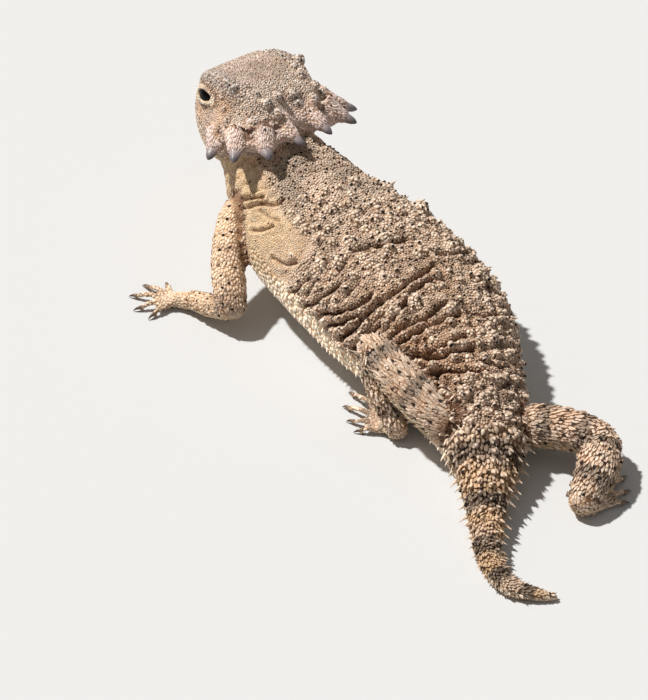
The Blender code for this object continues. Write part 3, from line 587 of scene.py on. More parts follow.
def head_skin(place, turn):
    """Points on the head's skin: turn 0 is the crown's middle, 12 the chin, 12 to 24 the right side."""
    half = head_half_sections(place)
    ring = np.concatenate([half, half[:, -2:0:-1] * (1, -1, 1)], axis=1)
    first = np.floor(turn).astype(int)
    part = (turn - first)[:, None]
    rows = np.arange(len(ring))
    near = [ring[rows, (first + step) % HEAD_RING] for step in (-1, 0, 1, 2)]
    straight = near[1] * (1 - part) + near[2] * part
    return head_point(0.7 * curve(*near, part) + 0.3 * straight)


def limb_skin(path):
    """A function that reads the skin of one length of a limb at a row number and an angle."""

    def read(place, angle):
        row = along(path, place)
        direction = path_direction(path, place)
        side = unit(np.cross((0.0, 0.0, 1.0), direction))
        top = np.cross(direction, side)
        turn = np.radians(angle)[..., None]
        out = side * np.cos(turn) + top * LIMB_FLATTEN * np.sin(turn)
        return row[..., :3] + out * row[..., 3:4]

    return read


def round_ring(centre, direction, radius, sides, flatten=1.0, up=(0.0, 0.0, 1.0)):
    """A ring across a direction, flattened towards the up vector."""
    side = unit(np.cross(up, direction))
    top = np.cross(direction, side)
    turn = np.linspace(0, 2 * np.pi, sides, endpoint=False)[:, None]
    out = side * np.cos(turn) + top * flatten * np.sin(turn)
    return np.asarray(centre) + out * radius


def horn_width(part):
    return (1 - np.asarray(part)) ** (1 / HORN_TAPER)


def horn_ends(shape, side):
    """The root and the tip of a horn."""
    _, root, tip, *_ = shape
    return head_point(mirrored(root, side)), head_point(mirrored(tip, side))


def horn_ring(shape, side, part, sides, grow=0.0):
    """A ring of a horn, part of the way from its root to its tip."""
    *_, half_width, half_thickness = shape
    start, end = horn_ends(shape, side)
    centre = start + (end - start) * part
    up = head_direction((0.0, 0.0, 1.0))
    radius = half_width * horn_width(part) * (1 - HORN_SLIM * part * (1 - part)) + grow
    return round_ring(centre, unit(end - start), radius, sides, half_thickness / half_width, up)


class Shells:
    """Closed shells gathered into one mesh, with their samples for finding places on the skin."""

    def __init__(self):
        self.points, self.faces, self.count = [], [], 0
        self.samples = []

    def add(self, rings, tip=None):
        rings = np.asarray(rings)
        rows, sides = rings.shape[:2]
        ends = [rings[0].mean(axis=0), rings[-1].mean(axis=0) if tip is None else tip]
        self.points.append(np.concatenate([rings.reshape(-1, 3), ends]))
        number = self.count + np.arange(rows * sides).reshape(rows, sides)
        after = np.roll(number, -1, axis=1)
        quads = np.stack([number[:-1], after[:-1], after[1:], number[1:]], axis=-1).reshape(-1, 4)
        self.faces += quads.tolist()
        first, last = self.count + rows * sides, self.count + rows * sides + 1
        self.faces += [(first, b, a) for a, b in zip(number[0], after[0])]
        self.faces += [(last, a, b) for a, b in zip(number[-1], after[-1])]
        self.count += rows * sides + 2

    def sample(self, kind, group, rings, places, turns, lie=1):
        """Keep the rings' points with their places, and the ways along and across the skin there."""
        rings = np.asarray(rings)
        forward = np.gradient(rings, places, axis=0)
        wrapped = np.concatenate([rings[:, -1:], rings, rings[:, :1]], axis=1)
        step = turns[1] - turns[0]
        across = (wrapped[:, 2:] - wrapped[:, :-2]) / (2 * step)
        place, turn = np.meshgrid(places, turns, indexing="ij")
        same = np.ones(place.size)
        self.samples.append(
            np.column_stack(
                [
                    rings.reshape(-1, 3),
                    forward.reshape(-1, 3),
                    across.reshape(-1, 3),
                    place.ravel(),
                    turn.ravel(),
                    same * kind,
                    same * group,
                    same * lie,
                ]
            )
        )


def surface_rings(read, places, turns):
    place, turn = np.meshgrid(places, turns, indexing="ij")
    points = read(place.ravel(), turn.ravel())
    return points.reshape(len(places), len(turns), 3)


def add_trunk(shells):
    places = np.linspace(0, len(TRUNK) - 1, 321)
    turns = np.arange(0, 360, 5.0)
    rings = surface_rings(trunk_skin, places, turns)
    shells.add(rings)
    shells.sample(TRUNK_KIND, 0, rings, places, turns)


def add_head(shells):
    places = np.linspace(0, len(HEAD) - 1, 91)
    turns = np.arange(0, HEAD_RING, 0.25)
    rings = surface_rings(head_skin, places, turns)
    shells.add(rings)
    shells.sample(HEAD_KIND, 0, rings, places, turns, lie=-1)
    for side, _ in SIDES:
        centre = head_point(mirrored(EYE_CENTRE, side))
        rings = []
        for latitude in np.linspace(-1, 1, 24)[1:-1] * np.pi / 2:
            ring_centre = centre + [0, 0, LID_BALL * math.sin(latitude)]
            radius = LID_BALL * math.cos(latitude)
            rings.append(round_ring(ring_centre, (0, 0, 1), radius, 36, up=(0, 1, 0)))
        shells.add(rings)


def add_horn_sleeves(shells):
    parts = np.linspace(0, HORN_SLEEVE, 12)
    turns = np.arange(0, 360, 15.0)
    for number, shape in enumerate(HORNS):
        for side, _ in SIDES:
            rings = [horn_ring(shape, side, part, len(turns), 0.42) for part in parts]
            shells.sample(HORN_KIND, number + 4 * (side < 0), rings, parts, turns)
            rings += [horn_ring(shape, side, HORN_SLEEVE + 0.03, len(turns), -0.1)]
            shells.add(rings)


def add_digit(shells, leg, root, turn, length, heading):
    """One toe, and the start and direction of its claw."""
    angle = heading + math.radians(turn)
    direction = np.array([math.cos(angle), math.sin(angle), 0.0])
    reach = length - CLAW_LENGTH
    parts = np.linspace(0, 1, 10)
    rings = []
    for part in parts:
        centre = root + direction * reach * part
        centre[2] = DIGIT_RADIUS * (0.9 - 0.2 * part) + DIGIT_ARCH * math.sin(math.pi * part) * length / 8
        radius = DIGIT_RADIUS * (1 - DIGIT_TAPER * part)
        rings.append(round_ring(centre, direction, radius * 1.06, 16))
    shells.add(rings, centre + direction * CLAW_RADIUS)
    shells.sample(FOOT_KIND, leg, rings, 6 + parts, np.arange(0, 360, 22.5))
    return centre, direction


def add_foot(shells, leg, path, digits, heading_degrees, side):
    heading = math.radians(heading_degrees)
    heel, end = np.asarray(path[-2]), np.asarray(path[-1])
    ahead = np.array([math.cos(heading), math.sin(heading), 0.0])
    rings = []
    for reach, size in ((-0.75, 0.5), (0.0, 1.0)):
        centre = heel[:3] + ahead * heel[3] * reach
        centre[2] = heel[3] * 0.85
        rings.append(round_ring(centre, ahead, heel[3] * size, 24, LIMB_FLATTEN))
    rings.append(round_ring(end[:3], ahead, end[3], 24, LIMB_FLATTEN))
    for part, width, height in PALM:
        centre = end[:3] + ahead * PALM_LENGTH * part
        centre[2] = height * 0.8
        half_width = PALM_HALF_WIDTH * width
        rings.append(round_ring(centre, ahead, half_width, 24, height / half_width))
    shells.add(rings)
    places = np.linspace(5, 6, len(rings))
    finer = np.linspace(0, len(rings) - 1, 22)
    dense = along(np.asarray(rings).reshape(len(rings), -1), finer).reshape(len(finer), 24, 3)
    shells.sample(FOOT_KIND, leg, dense, np.interp(finer, np.arange(len(rings)), places),
                  np.arange(0, 360, 15.0))
    across = np.array([-math.sin(heading), math.cos(heading), 0.0]) * side
    claws = []
    for number, (turn, length) in enumerate(digits):
        from_middle = number - 2
        reach = PALM_LENGTH * (0.8 - 0.1 * abs(from_middle))
        root = end[:3] + ahead * reach + across * from_middle * PALM_HALF_WIDTH * 0.36
        claws.append(add_digit(shells, leg, root, turn * side, length, heading))
    return claws


def add_leg(shells, leg, path, digits, heading, side):
    for rows, first in ((UPPER_ROWS, 0), (LOWER_ROWS, 3)):
        piece = path[rows]
        read = limb_skin(piece)
        places = np.linspace(0, len(piece) - 1, 16 * (len(piece) - 1) + 1)
        turns = np.arange(0, 360, 10.0)
        rings = surface_rings(read, places, turns)
        shells.sample(LIMB_KIND, leg, rings, first + places, turns)
        row, direction = along(piece, places[-1]), path_direction(piece, places[-1])
        domes = [
            round_ring(row[:3] + direction * row[3] * reach, direction, row[3] * width, len(turns),
                       LIMB_FLATTEN)
            for reach, width in JOINT_DOME
        ]
        shells.sample(LIMB_KIND, leg, [rings[-1], *domes], first + places[-1] + np.array([0, 0.1, 0.2]),
                      turns)
        shells.add([*rings, *domes])
    return add_foot(shells, leg, path, digits, heading, side)


def row_points(points):
    """Points of this script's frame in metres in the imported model's frame."""
    return (np.asarray(points) - SHIFT) * MM


def new_mesh(name, points, loops, sizes):
    """A mesh from arrays: points, the corners of all faces in turn, and each face's corner count."""
    mesh = bpy.data.meshes.new(name)
    mesh.vertices.add(len(points))
    mesh.vertices.foreach_set("co", np.ascontiguousarray(points, dtype=np.float32).ravel())
    mesh.loops.add(len(loops))
    mesh.loops.foreach_set("vertex_index", np.ascontiguousarray(loops, dtype=np.int32))
    mesh.polygons.add(len(sizes))
    starts = np.concatenate([[0], np.cumsum(sizes)[:-1]]).astype(np.int32)
    mesh.polygons.foreach_set("loop_start", starts)
    mesh.update(calc_edges=True)
    mesh.validate()
    mesh.shade_smooth()
    return mesh


def add_object(name, mesh):
    thing = bpy.data.objects.new(name, mesh)
    bpy.context.scene.collection.objects.link(thing)
    return thing


def remeshed(shells):
    """Points and quads of one smooth closed skin round all the shells."""
    mesh = bpy.data.meshes.new("shells")
    mesh.from_pydata(np.concatenate(shells.points).tolist(), [], shells.faces)
    thing = add_object("shells", mesh)
    modifier = thing.modifiers.new("one skin", "REMESH")
    modifier.mode = "VOXEL"
    modifier.voxel_size = VOXEL
    bpy.context.view_layer.update()
    graph = bpy.context.evaluated_depsgraph_get()
    done = thing.evaluated_get(graph).to_mesh()
    points = np.empty(len(done.vertices) * 3, np.float32)
    done.vertices.foreach_get("co", points)
    loops = np.empty(len(done.loops), np.int32)
    done.loops.foreach_get("vertex_index", loops)
    quads = loops.reshape(-1, 4)
    bpy.data.objects.remove(thing, do_unlink=True)
    bpy.data.meshes.remove(mesh)
    return points.reshape(-1, 3).astype(float), quads


def largest_piece(points, quads):
    """Drop every closed surface but the largest."""
    label = np.arange(len(points))
    edges = np.concatenate([quads[:, [0, 1]], quads[:, [1, 2]], quads[:, [2, 3]]])
    while True:
        low = np.minimum(label[edges[:, 0]], label[edges[:, 1]])
        new = label.copy()
        np.minimum.at(new, edges[:, 0], low)
        np.minimum.at(new, edges[:, 1], low)
        new = new[new]
        if (new == label).all():
            break
        label = new
    names, counts = np.unique(label, return_counts=True)
    keep = label == names[counts.argmax()]
    number = np.cumsum(keep) - 1
    return points[keep], number[quads[keep[quads[:, 0]]]]


def edges_of(quads):
    pairs = np.concatenate([np.stack([quads[:, i], quads[:, (i + 1) % 4]], 1) for i in range(4)])
    return np.unique(np.sort(pairs, axis=1), axis=0)


def neighbour_mean(values, edges, count):
    total = np.zeros((count, values.shape[1]))
    for column in range(values.shape[1]):
        total[:, column] += np.bincount(edges[:, 0], values[edges[:, 1], column], count)
        total[:, column] += np.bincount(edges[:, 1], values[edges[:, 0], column], count)
    degree = np.bincount(edges.ravel(), minlength=count)
    return total / np.maximum(degree, 1)[:, None]


def smoothed(points, edges, rounds, pull=0.5):
    for _ in range(rounds):
        points = points + (neighbour_mean(points, edges, len(points)) - points) * pull
    return points


def vertex_normals(points, quads):
    a, b, c, d = (points[quads[:, i]] for i in range(4))
    face = np.cross(c - a, d - b)
    total = np.zeros_like(points)
    for corner in range(4):
        for axis in range(3):
            total[:, axis] += np.bincount(quads[:, corner], face[:, axis], len(points))
    return unit(total)


def tree_of(points):
    tree = kdtree.KDTree(len(points))
    for number, point in enumerate(points.tolist()):
        tree.insert(point, number)
    tree.balance()
    return tree


def nearest(tree, points):
    """The number of the tree's point that lies nearest to each point."""
    return np.fromiter((tree.find(point)[1] for point in points.tolist()), np.int64, len(points))


class Places:
    """For points of the skin: what they belong to, their place and turn there, and the scales' lie."""

    def __init__(self, points, table, tree):
        rows = table[nearest(tree, points)]
        off = points - rows[:, 0:3]
        forward, across = rows[:, 3:6], rows[:, 6:9]
        step = (off * forward).sum(1) / np.maximum((forward**2).sum(1), 1e-9)
        swing = (off * across).sum(1) / np.maximum((across**2).sum(1), 1e-9)
        self.place = rows[:, 9] + np.clip(step, -0.2, 0.2)
        self.turn = rows[:, 10] + np.clip(swing, -5, 5)
        self.kind = rows[:, 11].astype(int)
        self.group = rows[:, 12].astype(int)
        self.lie = unit(forward) * rows[:, 13:14]

    def pick(self, chosen):
        other = object.__new__(Places)
        for name, value in self.__dict__.items():
            setattr(other, name, value[chosen])
        return other

    def trunk_turn(self):
        """Turns from -90 to 270, so that the left side's underside comes just before its edge at 0."""
        return np.where(self.turn > 270, self.turn - 360, self.turn)

    def head_turn(self):
        """Turns from 0 at the crown's middle to 12 at the chin, alike on both sides."""
        return np.where(self.turn > HEAD_RING / 2, HEAD_RING - self.turn, self.turn)


def line_distance(points, line):
    """Distance of each point from an open line of points."""
    best = np.full(len(points), 1e9)
    for start, end in zip(line, line[1:]):
        way = end - start
        part = np.clip((points - start) @ way / max(way @ way, 1e-9), 0, 1)
        best = np.minimum(best, np.linalg.norm(points - start - part[:, None] * way, axis=1))
    return best


def crease_heights(points):
    """How far each point of the skin sinks into a crease or rises beside it, and how deep it lies."""
    rise, deep = np.zeros(len(points)), np.zeros(len(points))
    for depth, half_width, corners in CREASES:
        spread = np.linspace(0, len(corners) - 1, 8 * len(corners))
        place, angle = along(corners, spread).T
        line = trunk_skin(place, angle)
        near = np.linalg.norm(points - line.mean(0), axis=1) < 25
        away = line_distance(points[near], line) / half_width
        away = np.maximum(away + 1.1 * (noise(points[near], 1.3, 12) - 0.5), 0.0)
        groove = np.exp(-(away**2))
        rise[near] += depth * (0.3 * np.exp(-((away - 2.2) ** 2) / 1.4) - groove)
        deep[near] = np.maximum(deep[near], groove * min(depth, 1.0))
    return rise, deep


def wrinkles(points, places):
    """Fine folds across the flanks, on the throat and at the limbs' roots."""
    trunk = places.kind == TRUNK_KIND
    turn = places.trunk_turn()
    from_edge = np.minimum(np.abs(turn), np.abs(180 - turn))
    flank = ease(turn, -15, 12) * (1 - ease(turn, 168, 195)) * (1 - 0.55 * ease(from_edge, 50, 85))
    flank = flank * ease(places.place, 3.0, 4.4) * (1 - ease(places.place, 8.6, 9.4))
    bent = places.place * 3.1 + 1.5 * noise(points, 7.0, 1) + 0.012 * turn
    fold = 1 - np.abs(np.sin(math.pi * bent)) ** 0.55
    throat = trunk * (1 - ease(places.place, 2.2, 3.2))
    throat_fold = 1 - np.abs(np.sin(math.pi * (places.place * 3.4 + 1.2 * noise(points, 5.0, 2)))) ** 0.6
    limb = (places.kind == LIMB_KIND) * 0.5
    limb_fold = 1 - np.abs(np.sin(math.pi * (places.place * 2.4 + noise(points, 4.0, 3)))) ** 0.6
    return 0.6 * flank * trunk * fold + 0.4 * throat * throat_fold + 0.3 * limb * limb_fold


def skin_frame(read, place, turn, turn_step):
    """Points of the skin, with the outward and lengthwise directions there."""
    lengthwise = unit(read(place + 0.05, turn) - read(place - 0.05, turn))
    crosswise = unit(read(place, turn + turn_step) - read(place, turn - turn_step))
    return read(place, turn), unit(np.cross(lengthwise, crosswise)), lengthwise


def angle_rows(rows, read, rng):
    """Spots for rows of spines: points, directions, radii and heights."""
    found = []
    for angle, first, last, step, *form in rows:
        count = int((last - first) / step + 1.5)
        place = first + step * (np.arange(count) + rng.uniform(-ROW_SHAKE, ROW_SHAKE, count))
        turn = angle + rng.uniform(-TURN_SHAKE, TURN_SHAKE, count)
        found.append(np.column_stack([place, turn, np.tile(form, (count, 1))]))
    place, turn, radius, height, lean = np.concatenate(found).T
    point, outward, lie = skin_frame(read, place, turn, 1.0)
    varied = rng.uniform(*SPINE_SIZES, (len(place), 2))
    return {
        "place": place, "turn": turn, "point": point, "outward": outward, "lie": lie,
        "radius": radius * varied[:, 0], "height": height * varied[:, 1], "lean": lean,
    }


def joined(spots):
    return {key: np.concatenate([one[key] for one in spots]) for key in spots[0]}


def slimmer_to_tip(spots):
    size = 1 - 0.55 * ease(spots["place"], 9.7, 14.5)
    spots["radius"] = spots["radius"] * size
    spots["height"] = spots["height"] * size
    return spots


def trunk_spots(rng):
    """All spines of the trunk and tail."""
    blotch_and_shadow = np.array(BLOTCH_SPINES)
    rows = [(turn, place, place, 1.0, radius, height, 0.5) for place, turn, radius, height, _, _ in blotch_and_shadow]
    big = angle_rows(rows, trunk_skin, rng)
    small = angle_rows(BACK_ROWS, trunk_skin, rng)
    close = np.linalg.norm(small["point"][:, None] - big["point"][None], axis=2).min(1) < 1.9
    small = {key: value[~close] for key, value in small.items()}
    fringe = angle_rows(FRINGE_ROWS, trunk_skin, rng)
    tail = slimmer_to_tip(angle_rows(TAIL_ROWS, trunk_skin, rng))
    return big, small, fringe, tail


def limb_spots(rng):
    found = []
    for number, (path, *_) in enumerate(LEGS):
        for rows in (UPPER_ROWS, LOWER_ROWS):
            piece = path[rows]
            last = len(piece) - 1
            radius, height, lean = LIMB_SPINES[number // 2]
            edges = (LIMB_ROWS[0], LIMB_ROWS[-1])
            table = [
                (angle, 0.1, last, LIMB_STEP, radius,
                 height * (EDGE_GROWTH[number // 2] if angle in edges else 1.0), lean)
                for angle in LIMB_ROWS
            ]
            found.append(angle_rows(table, limb_skin(piece), rng))
    return joined(found)


def head_spots():
    """Tubercles of the head."""
    side, place, down, radius, height, dark = np.array(TUBERCLES).T
    turn = np.where(side > 0, down, HEAD_RING - down)
    point, outward, forward = skin_frame(head_skin, place, turn, 0.1)
    return {
        "place": place, "turn": turn, "point": point, "outward": outward, "lie": -forward,
        "radius": radius * 1.25, "height": height, "lean": np.full(len(place), 0.2), "dark": dark,
    }


def mounds(points, spots, reach, lift, steepness=2):
    """The skin's rise under spines: each spot lifts what lies within reach times its radius.

    A steepness of 2 gives a soft mound and 1 a round dome with a marked foot.
    """
    rise = np.zeros(len(points))
    for point, radius, height in zip(spots["point"], spots["radius"], spots["height"]):
        span = radius * reach
        near = np.abs(points - point).max(1) < span
        away = np.linalg.norm(points[near] - point, axis=1) / span
        rise[near] = np.maximum(rise[near], height * lift * np.clip(1 - away**2, 0, 1) ** steepness)
    return rise


def parts_of(kind, group, place):
    """Number the trunk 0, the lengths of the limbs 1 to 8, the horns from 10 on, and all else -1."""
    legs = (kind == LIMB_KIND) | (kind == FOOT_KIND)
    length = 1 + 2 * group + (place >= 3)
    others = np.where(kind == HORN_KIND, FIRST_HORN + group, -1)
    return np.where(kind == TRUNK_KIND, 0, np.where(legs, length, others)).astype(int)


def junctions(points, places, table):
    """How near each point lies to the crease where a limb leaves the trunk, folds back, or horns meet."""
    own = parts_of(places.kind, places.group, places.place)
    parts = parts_of(table[:, 11], table[:, 12], table[:, 9])
    near = np.zeros(len(points))
    for low, high in MEETINGS:
        for mine, other in ((low, high), (high, low)):
            rows = table[parts == other, :3]
            chosen = np.flatnonzero(own == mine)
            inside = (points[chosen] > rows.min(0) - 1.5).all(1) & (points[chosen] < rows.max(0) + 1.5).all(1)
            chosen = chosen[inside]
            if len(chosen) == 0:
                continue
            tree = tree_of(rows)
            away = np.array([tree.find(point)[2] for point in points[chosen].tolist()])
            value = np.exp(-((away / JUNCTION_WIDTH) ** 2))
            if 0 < low < FIRST_HORN:
                value *= ease(np.abs(places.place[chosen] - 3), 0.45, 0.9)
            near[chosen] = np.maximum(near[chosen], value)
    return near


def rough_spots(points, normals, places, rng):
    """Low mounds strewn over the back, which the scales climb."""
    turn = places.trunk_turn()
    back = (places.kind == TRUNK_KIND) & (turn > 8) & (turn < 172) & (places.place > 2.9)
    back &= places.place < 9.6
    back &= (places.place > 3.9) | (np.abs(turn - 90) < 38)
    free = np.flatnonzero(back)
    order = rng.permutation(free)[:6000]
    chosen, kept = points[order], []
    for number, point in enumerate(chosen):
        if all(((point - chosen[other]) ** 2).sum() > MOUND_SPACING**2 for other in kept):
            kept.append(number)
    kept = order[kept]
    count = len(kept)
    return {
        "point": points[kept],
        "outward": normals[kept],
        "radius": rng.uniform(0.8, 1.4, count),
        "height": rng.uniform(0.25, 1.1, count),
    }


def eye_frame(side):
    """An eye's centre, the direction of its look, and the level and upward directions across that."""
    centre = head_point(mirrored(EYE_CENTRE, side))
    look = unit(head_direction(mirrored(EYE_LOOK, side)))
    level = unit(np.cross(head_direction((0.0, 0.0, 1.0)), look))
    return centre, look, level, np.cross(look, level)


def shape_eyes(points):
    """Open the skin in front of each eyeball and round the lids on it."""
    for side, _ in SIDES:
        centre, look, level, up = eye_frame(side)
        off = points - centre
        reach = np.linalg.norm(off, axis=1)
        wide, high = LID_OPENING
        inside = np.hypot(off @ level / wide, off @ up / high)
        front = ((off @ look) > 0) & (reach < LID_BALL + 1.6)
        open_part = (1 - ease(inside, 0.86, 1.08)) * front
        lid_part = (1 - ease(inside, 1.25, 1.9)) * front * (1 - open_part)
        lid_reach = reach + (EYE_RADIUS + 0.42 - reach) * lid_part
        target = lid_reach + (EYE_RADIUS - 1.2 - lid_reach) * open_part
        points = centre + off * (target / np.maximum(reach, 1e-9))[:, None]
    return points


def shape_nostrils(points, normals):
    """Sink a small pit for each nostril."""
    for side, _ in SIDES:
        centre = head_point(mirrored(NOSTRIL_PLACE, side))
        away = np.linalg.norm(points - centre, axis=1)
        points = points - normals * (0.7 * (1 - ease(away, 0.2, NOSTRIL_RADIUS * 1.5)))[:, None]
    return points


def mix(base, colour, amount):
    """Move a colour, or one colour for each point, towards another by each point's amount."""
    return base + (np.asarray(colour) - base) * np.asarray(amount)[:, None]


def trunk_colours(points, places):
    place, turn = places.place, places.trunk_turn()
    cloud, fine, patch = layered_noise(points, 5.5, 4), noise(points, 1.3, 6), noise(points, 9.0, 8)
    front = 1 - ease(place, 3.8, 5.4)
    colour = mix(SAND, PALE, (0.6 + 0.3 * front) * ease(fine, 0.35 - 0.3 * front, 0.8))
    colour = mix(colour, GREY, (0.5 - 0.2 * front) * ease(cloud, 0.48, 0.75))
    folds = within(place, 4.6, 5.6, 8.2, 9.0) * within(turn, 5, 25, 92, 110)
    colour = mix(colour, ORANGE, 0.38 * folds * ease(patch, 0.35, 0.7))
    rear = within(place, 6.2, 8.2, 9.4, 10)
    colour = mix(colour, BROWN, 0.35 * rear * ease(cloud, 0.3, 0.7))
    # Dark blotches behind the big spines: partly the animal's own marking, partly each spine's painted
    # shadow.
    for spot_place, spot_turn, _, _, radius, strength in BLOTCH_SPINES:
        centre = trunk_skin(np.array([spot_place + BLOTCH_BEHIND]), np.array([spot_turn + BLOTCH_OVER]))[0]
        away = np.linalg.norm(points - centre, axis=1) + 0.9 * (fine - 0.5)
        blotch_and_shadow = 1 - ease(away, radius * 0.25, radius * 0.95)
        colour = mix(colour, BROWN * 0.8, strength * 0.85 * blotch_and_shadow)
    shade = (1 - ease(place, 2.9, 3.8)) * within(turn, 40, 70, 130, 150)
    colour = mix(colour, GREY * 0.8, 0.45 * shade * ease(cloud, 0.35, 0.6))
    sides = np.maximum(1 - ease(turn, 38, 60), ease(turn, 140, 165))
    throat = (1 - ease(place + 0.5 * patch, 3.3, 4.1)) * sides
    colour = mix(colour, CREAM, 0.8 * throat)
    edge = turn + 6 * (fine - 0.5)
    edge_line = 8.5 - 17 * (1 - ease(place, 3.1, 3.7))
    below = np.maximum(1 - ease(edge - edge_line, -3, 3), ease(edge, 175, 181))
    colour = mix(colour, BELLY, 0.95 * below * ease(place, 2.6, 3.3))
    tail = ease(place, 9.2, 10)
    colour = mix(colour, TAN, 0.7 * tail * ease(fine, 0.2, 0.7))
    above = 1 - 0.65 * below
    for bar in TAIL_BARS:
        away = np.abs(place - bar - 0.12 * (patch - 0.5))
        band = 1 - ease(away, TAIL_BAR_WIDTH * 0.6, TAIL_BAR_WIDTH * 1.25)
        colour = mix(colour, TAIL_BAND, 0.94 * band * above * (0.6 + 0.4 * fine))
    colour = colour * (1 - 0.12 * tail)[:, None]
    return mix(colour, PALE, 0.5 * ease(place, 15.2, 15.6))


def eye_distance(points, side):
    """How far points lie from the eye's axis, as a part of the lids' opening; far off behind the eye."""
    centre, look, level, up = eye_frame(side)
    off = points - centre
    inside = np.hypot(off @ level / LID_OPENING[0], off @ up / LID_OPENING[1])
    front = ((off @ look) > 0) & (np.linalg.norm(off, axis=1) < LID_BALL + 1.7)
    return np.where(front, inside, 99.0), off @ up


def head_colours(points, places):
    place, down = places.place, places.head_turn()
    cloud, fine, patch = layered_noise(points, 4.0, 14), noise(points, 0.9, 16), noise(points, 6.0, 18)
    colour = mix(PINK, HEAD_PALE, 0.65 * ease(fine, 0.35, 0.8))
    colour = mix(colour, GREY, 0.5 * ease(cloud, 0.42, 0.7))
    colour = mix(colour, FRECKLE, 0.4 * ease(noise(points, 0.6, 19), 0.6, 0.85))
    cheek = within(down, 2.4, 3.6, 6.6, 7.6) * ease(place, 2.2, 3.4)
    colour = mix(colour, CHEEK, 0.6 * cheek * ease(patch, 0.1, 0.6))
    brow = (1 - ease(np.abs(down - 2.1), 0.35, 0.9)) * within(place, 2.6, 3.2, 6.2, 7.0)
    colour = mix(colour, BROW, 0.55 * brow)
    colour = mix(colour, GREY, 0.25 * ease(place, 5.6, 7.2))
    temple = (1 - ease(place, 2.4, 3.2)) * (1 - ease(down, 4.5, 6.0))
    colour = mix(colour, TEMPLE, 0.85 * temple)
    rear = 1 - ease(place, 0.3, 1.6)
    colour = mix(colour, HORN_BASE, 0.75 * rear * (down < 8))
    colour = mix(colour, CREAM * 1.05, 0.8 * ease(down, 8.6, 10.4))
    for side, _ in SIDES:
        inside, lift = eye_distance(points, side)
        lid = (1 - ease(inside, 1.35, 1.9)) * (1 - 0.6 * ease(lift, 0.3, 0.9))
        colour = mix(colour, LID, 0.97 * lid)
        colour = mix(colour, BROWN, 0.6 * within(inside, 1.7, 2.1, 2.1, 2.7))
    return colour


def limb_colours(points, places):
    place, turn, front = places.place, np.radians(places.turn), places.group < 2
    cloud, fine = layered_noise(points, 3.4, 24), noise(points, 1.0, 26)
    colour = mix(SAND, PALE, 0.75 * ease(fine, 0.3, 0.75))
    colour = mix(colour, ORANGE, 0.25 * ease(cloud, 0.45, 0.7))
    top = ease(np.sin(turn), -0.35, 0.25)
    rhythm = np.cos((place * 2.05 + places.group * 0.35 + 0.5 * (cloud - 0.5)) * math.pi)
    band = ease(rhythm, 0.35, 0.8) * top * np.where(front, 0.15, 0.75)
    elbow = (1 - ease(np.abs(place - 3.1), 0.2, 0.7)) * front
    colour = mix(colour, ELBOW, 0.6 * elbow * (0.4 + 0.6 * fine))
    colour = mix(colour, FORELEG, 0.85 * front * (1 - elbow))
    colour = mix(colour, LIMB_BAND, band * (0.65 + 0.35 * fine))
    colour = mix(colour, CREAM, 0.7 * (1 - top))
    return mix(colour, PALE, 0.3 * ease(place, 5.2, 5.8))


def horn_base_colours(points, places):
    colour = mix(HORN_BASE, HEAD_PALE, 0.55 * ease(noise(points, 0.8, 36), 0.35, 0.8))
    return mix(colour, SLEEVE_TIP, 0.5 * ease(places.place, 0.3, HORN_SLEEVE))


def markings(points, places, relief):
    """The colour of the skin and of the scales that stand on it, with painted shade in hollows and creases
    and painted light on the trunk's mounds.
    """
    colour = np.tile(SAND, (len(points), 1))
    painters = {
        TRUNK_KIND: trunk_colours,
        HEAD_KIND: head_colours,
        LIMB_KIND: limb_colours,
        FOOT_KIND: limb_colours,
        HORN_KIND: horn_base_colours,
    }
    for kind, paint in painters.items():
        chosen = places.kind == kind
        if chosen.any():
            colour[chosen] = paint(points[chosen], places.pick(chosen))
    deep, mound = relief.T
    on_trunk = places.kind == TRUNK_KIND
    back = within(places.trunk_turn(), 8, 20, 165, 176) * within(places.place, 3.0, 3.8, 9.0, 9.8) * on_trunk
    # Painted shade in the hollows between the back's mounds.
    colour = mix(colour, HOLLOW_SHADE, 0.34 * back * (1 - ease(mound, 0.05, 0.5)))
    # Painted shade in creases, folds, the limbs' roots and the notches between horns, lighter on the horns.
    crease_shade = np.where(places.kind == HORN_KIND, 0.45, 0.8)
    colour = mix(colour, CREASE_SHADE, crease_shade * ease(deep, 0.15, 0.9))
    # Painted light: paler where the trunk's mounds rise.
    return mix(colour, PALE, 0.85 * ease(mound, 0.1, 0.8) * on_trunk)


def scale_sizes(places, relief):
    """The form of the scales at places of the skin, with the skin's creases and mounds there."""
    place = places.place
    turn = places.trunk_turn()
    down = places.head_turn()
    trunk, head = places.kind == TRUNK_KIND, places.kind == HEAD_KIND
    above = (turn > 6) & (turn < 184)
    limb = places.kind == LIMB_KIND
    regions = {
        "throat": trunk & (((place < 2.9) & ((turn < 50) | (turn > 150))) | ((place < 3.7) & (turn < 48))),
        "belly": trunk & ~above & (place > 2.9),
        "tail": trunk & (place > 9.3),
        "head": head,
        "lips": head & (np.abs(down - 8.0) < 1.5) & (place > 2.4),
        "brow": head & (np.abs(down - 2.1) < 0.7) & (place > BROW_SCALES[0]) & (place < BROW_SCALES[1]),
        "foreleg": limb & (places.group < 2),
        "hindleg": limb & (places.group >= 2),
        "foot": places.kind == FOOT_KIND,
        "horn": places.kind == HORN_KIND,
    }
    table = np.tile(SCALE_FORMS["back"], (len(place), 1))
    for name, covers in regions.items():
        table[covers] = SCALE_FORMS[name]
    form = dict(zip(FORM_KEYS, table.T.copy()))
    slim = 1 - 0.35 * trunk * ease(place, 10, 15)
    deep, mound = relief.T
    form["size"] *= slim * (1 - 0.25 * deep) * (1 + 0.6 * mound * trunk + 0.35 * mound * head)
    form["height"] *= slim * (1 - 0.6 * deep) * (1 + 0.35 * mound)
    form["keel"] = np.maximum(form["keel"], 0.6 * mound * trunk)
    # Darker painted shade in the gaps down in creases.
    form["gap"] *= 1 - 0.4 * deep
    form["apart"][trunk & (turn < 11)] = NO_SPECKS
    return form


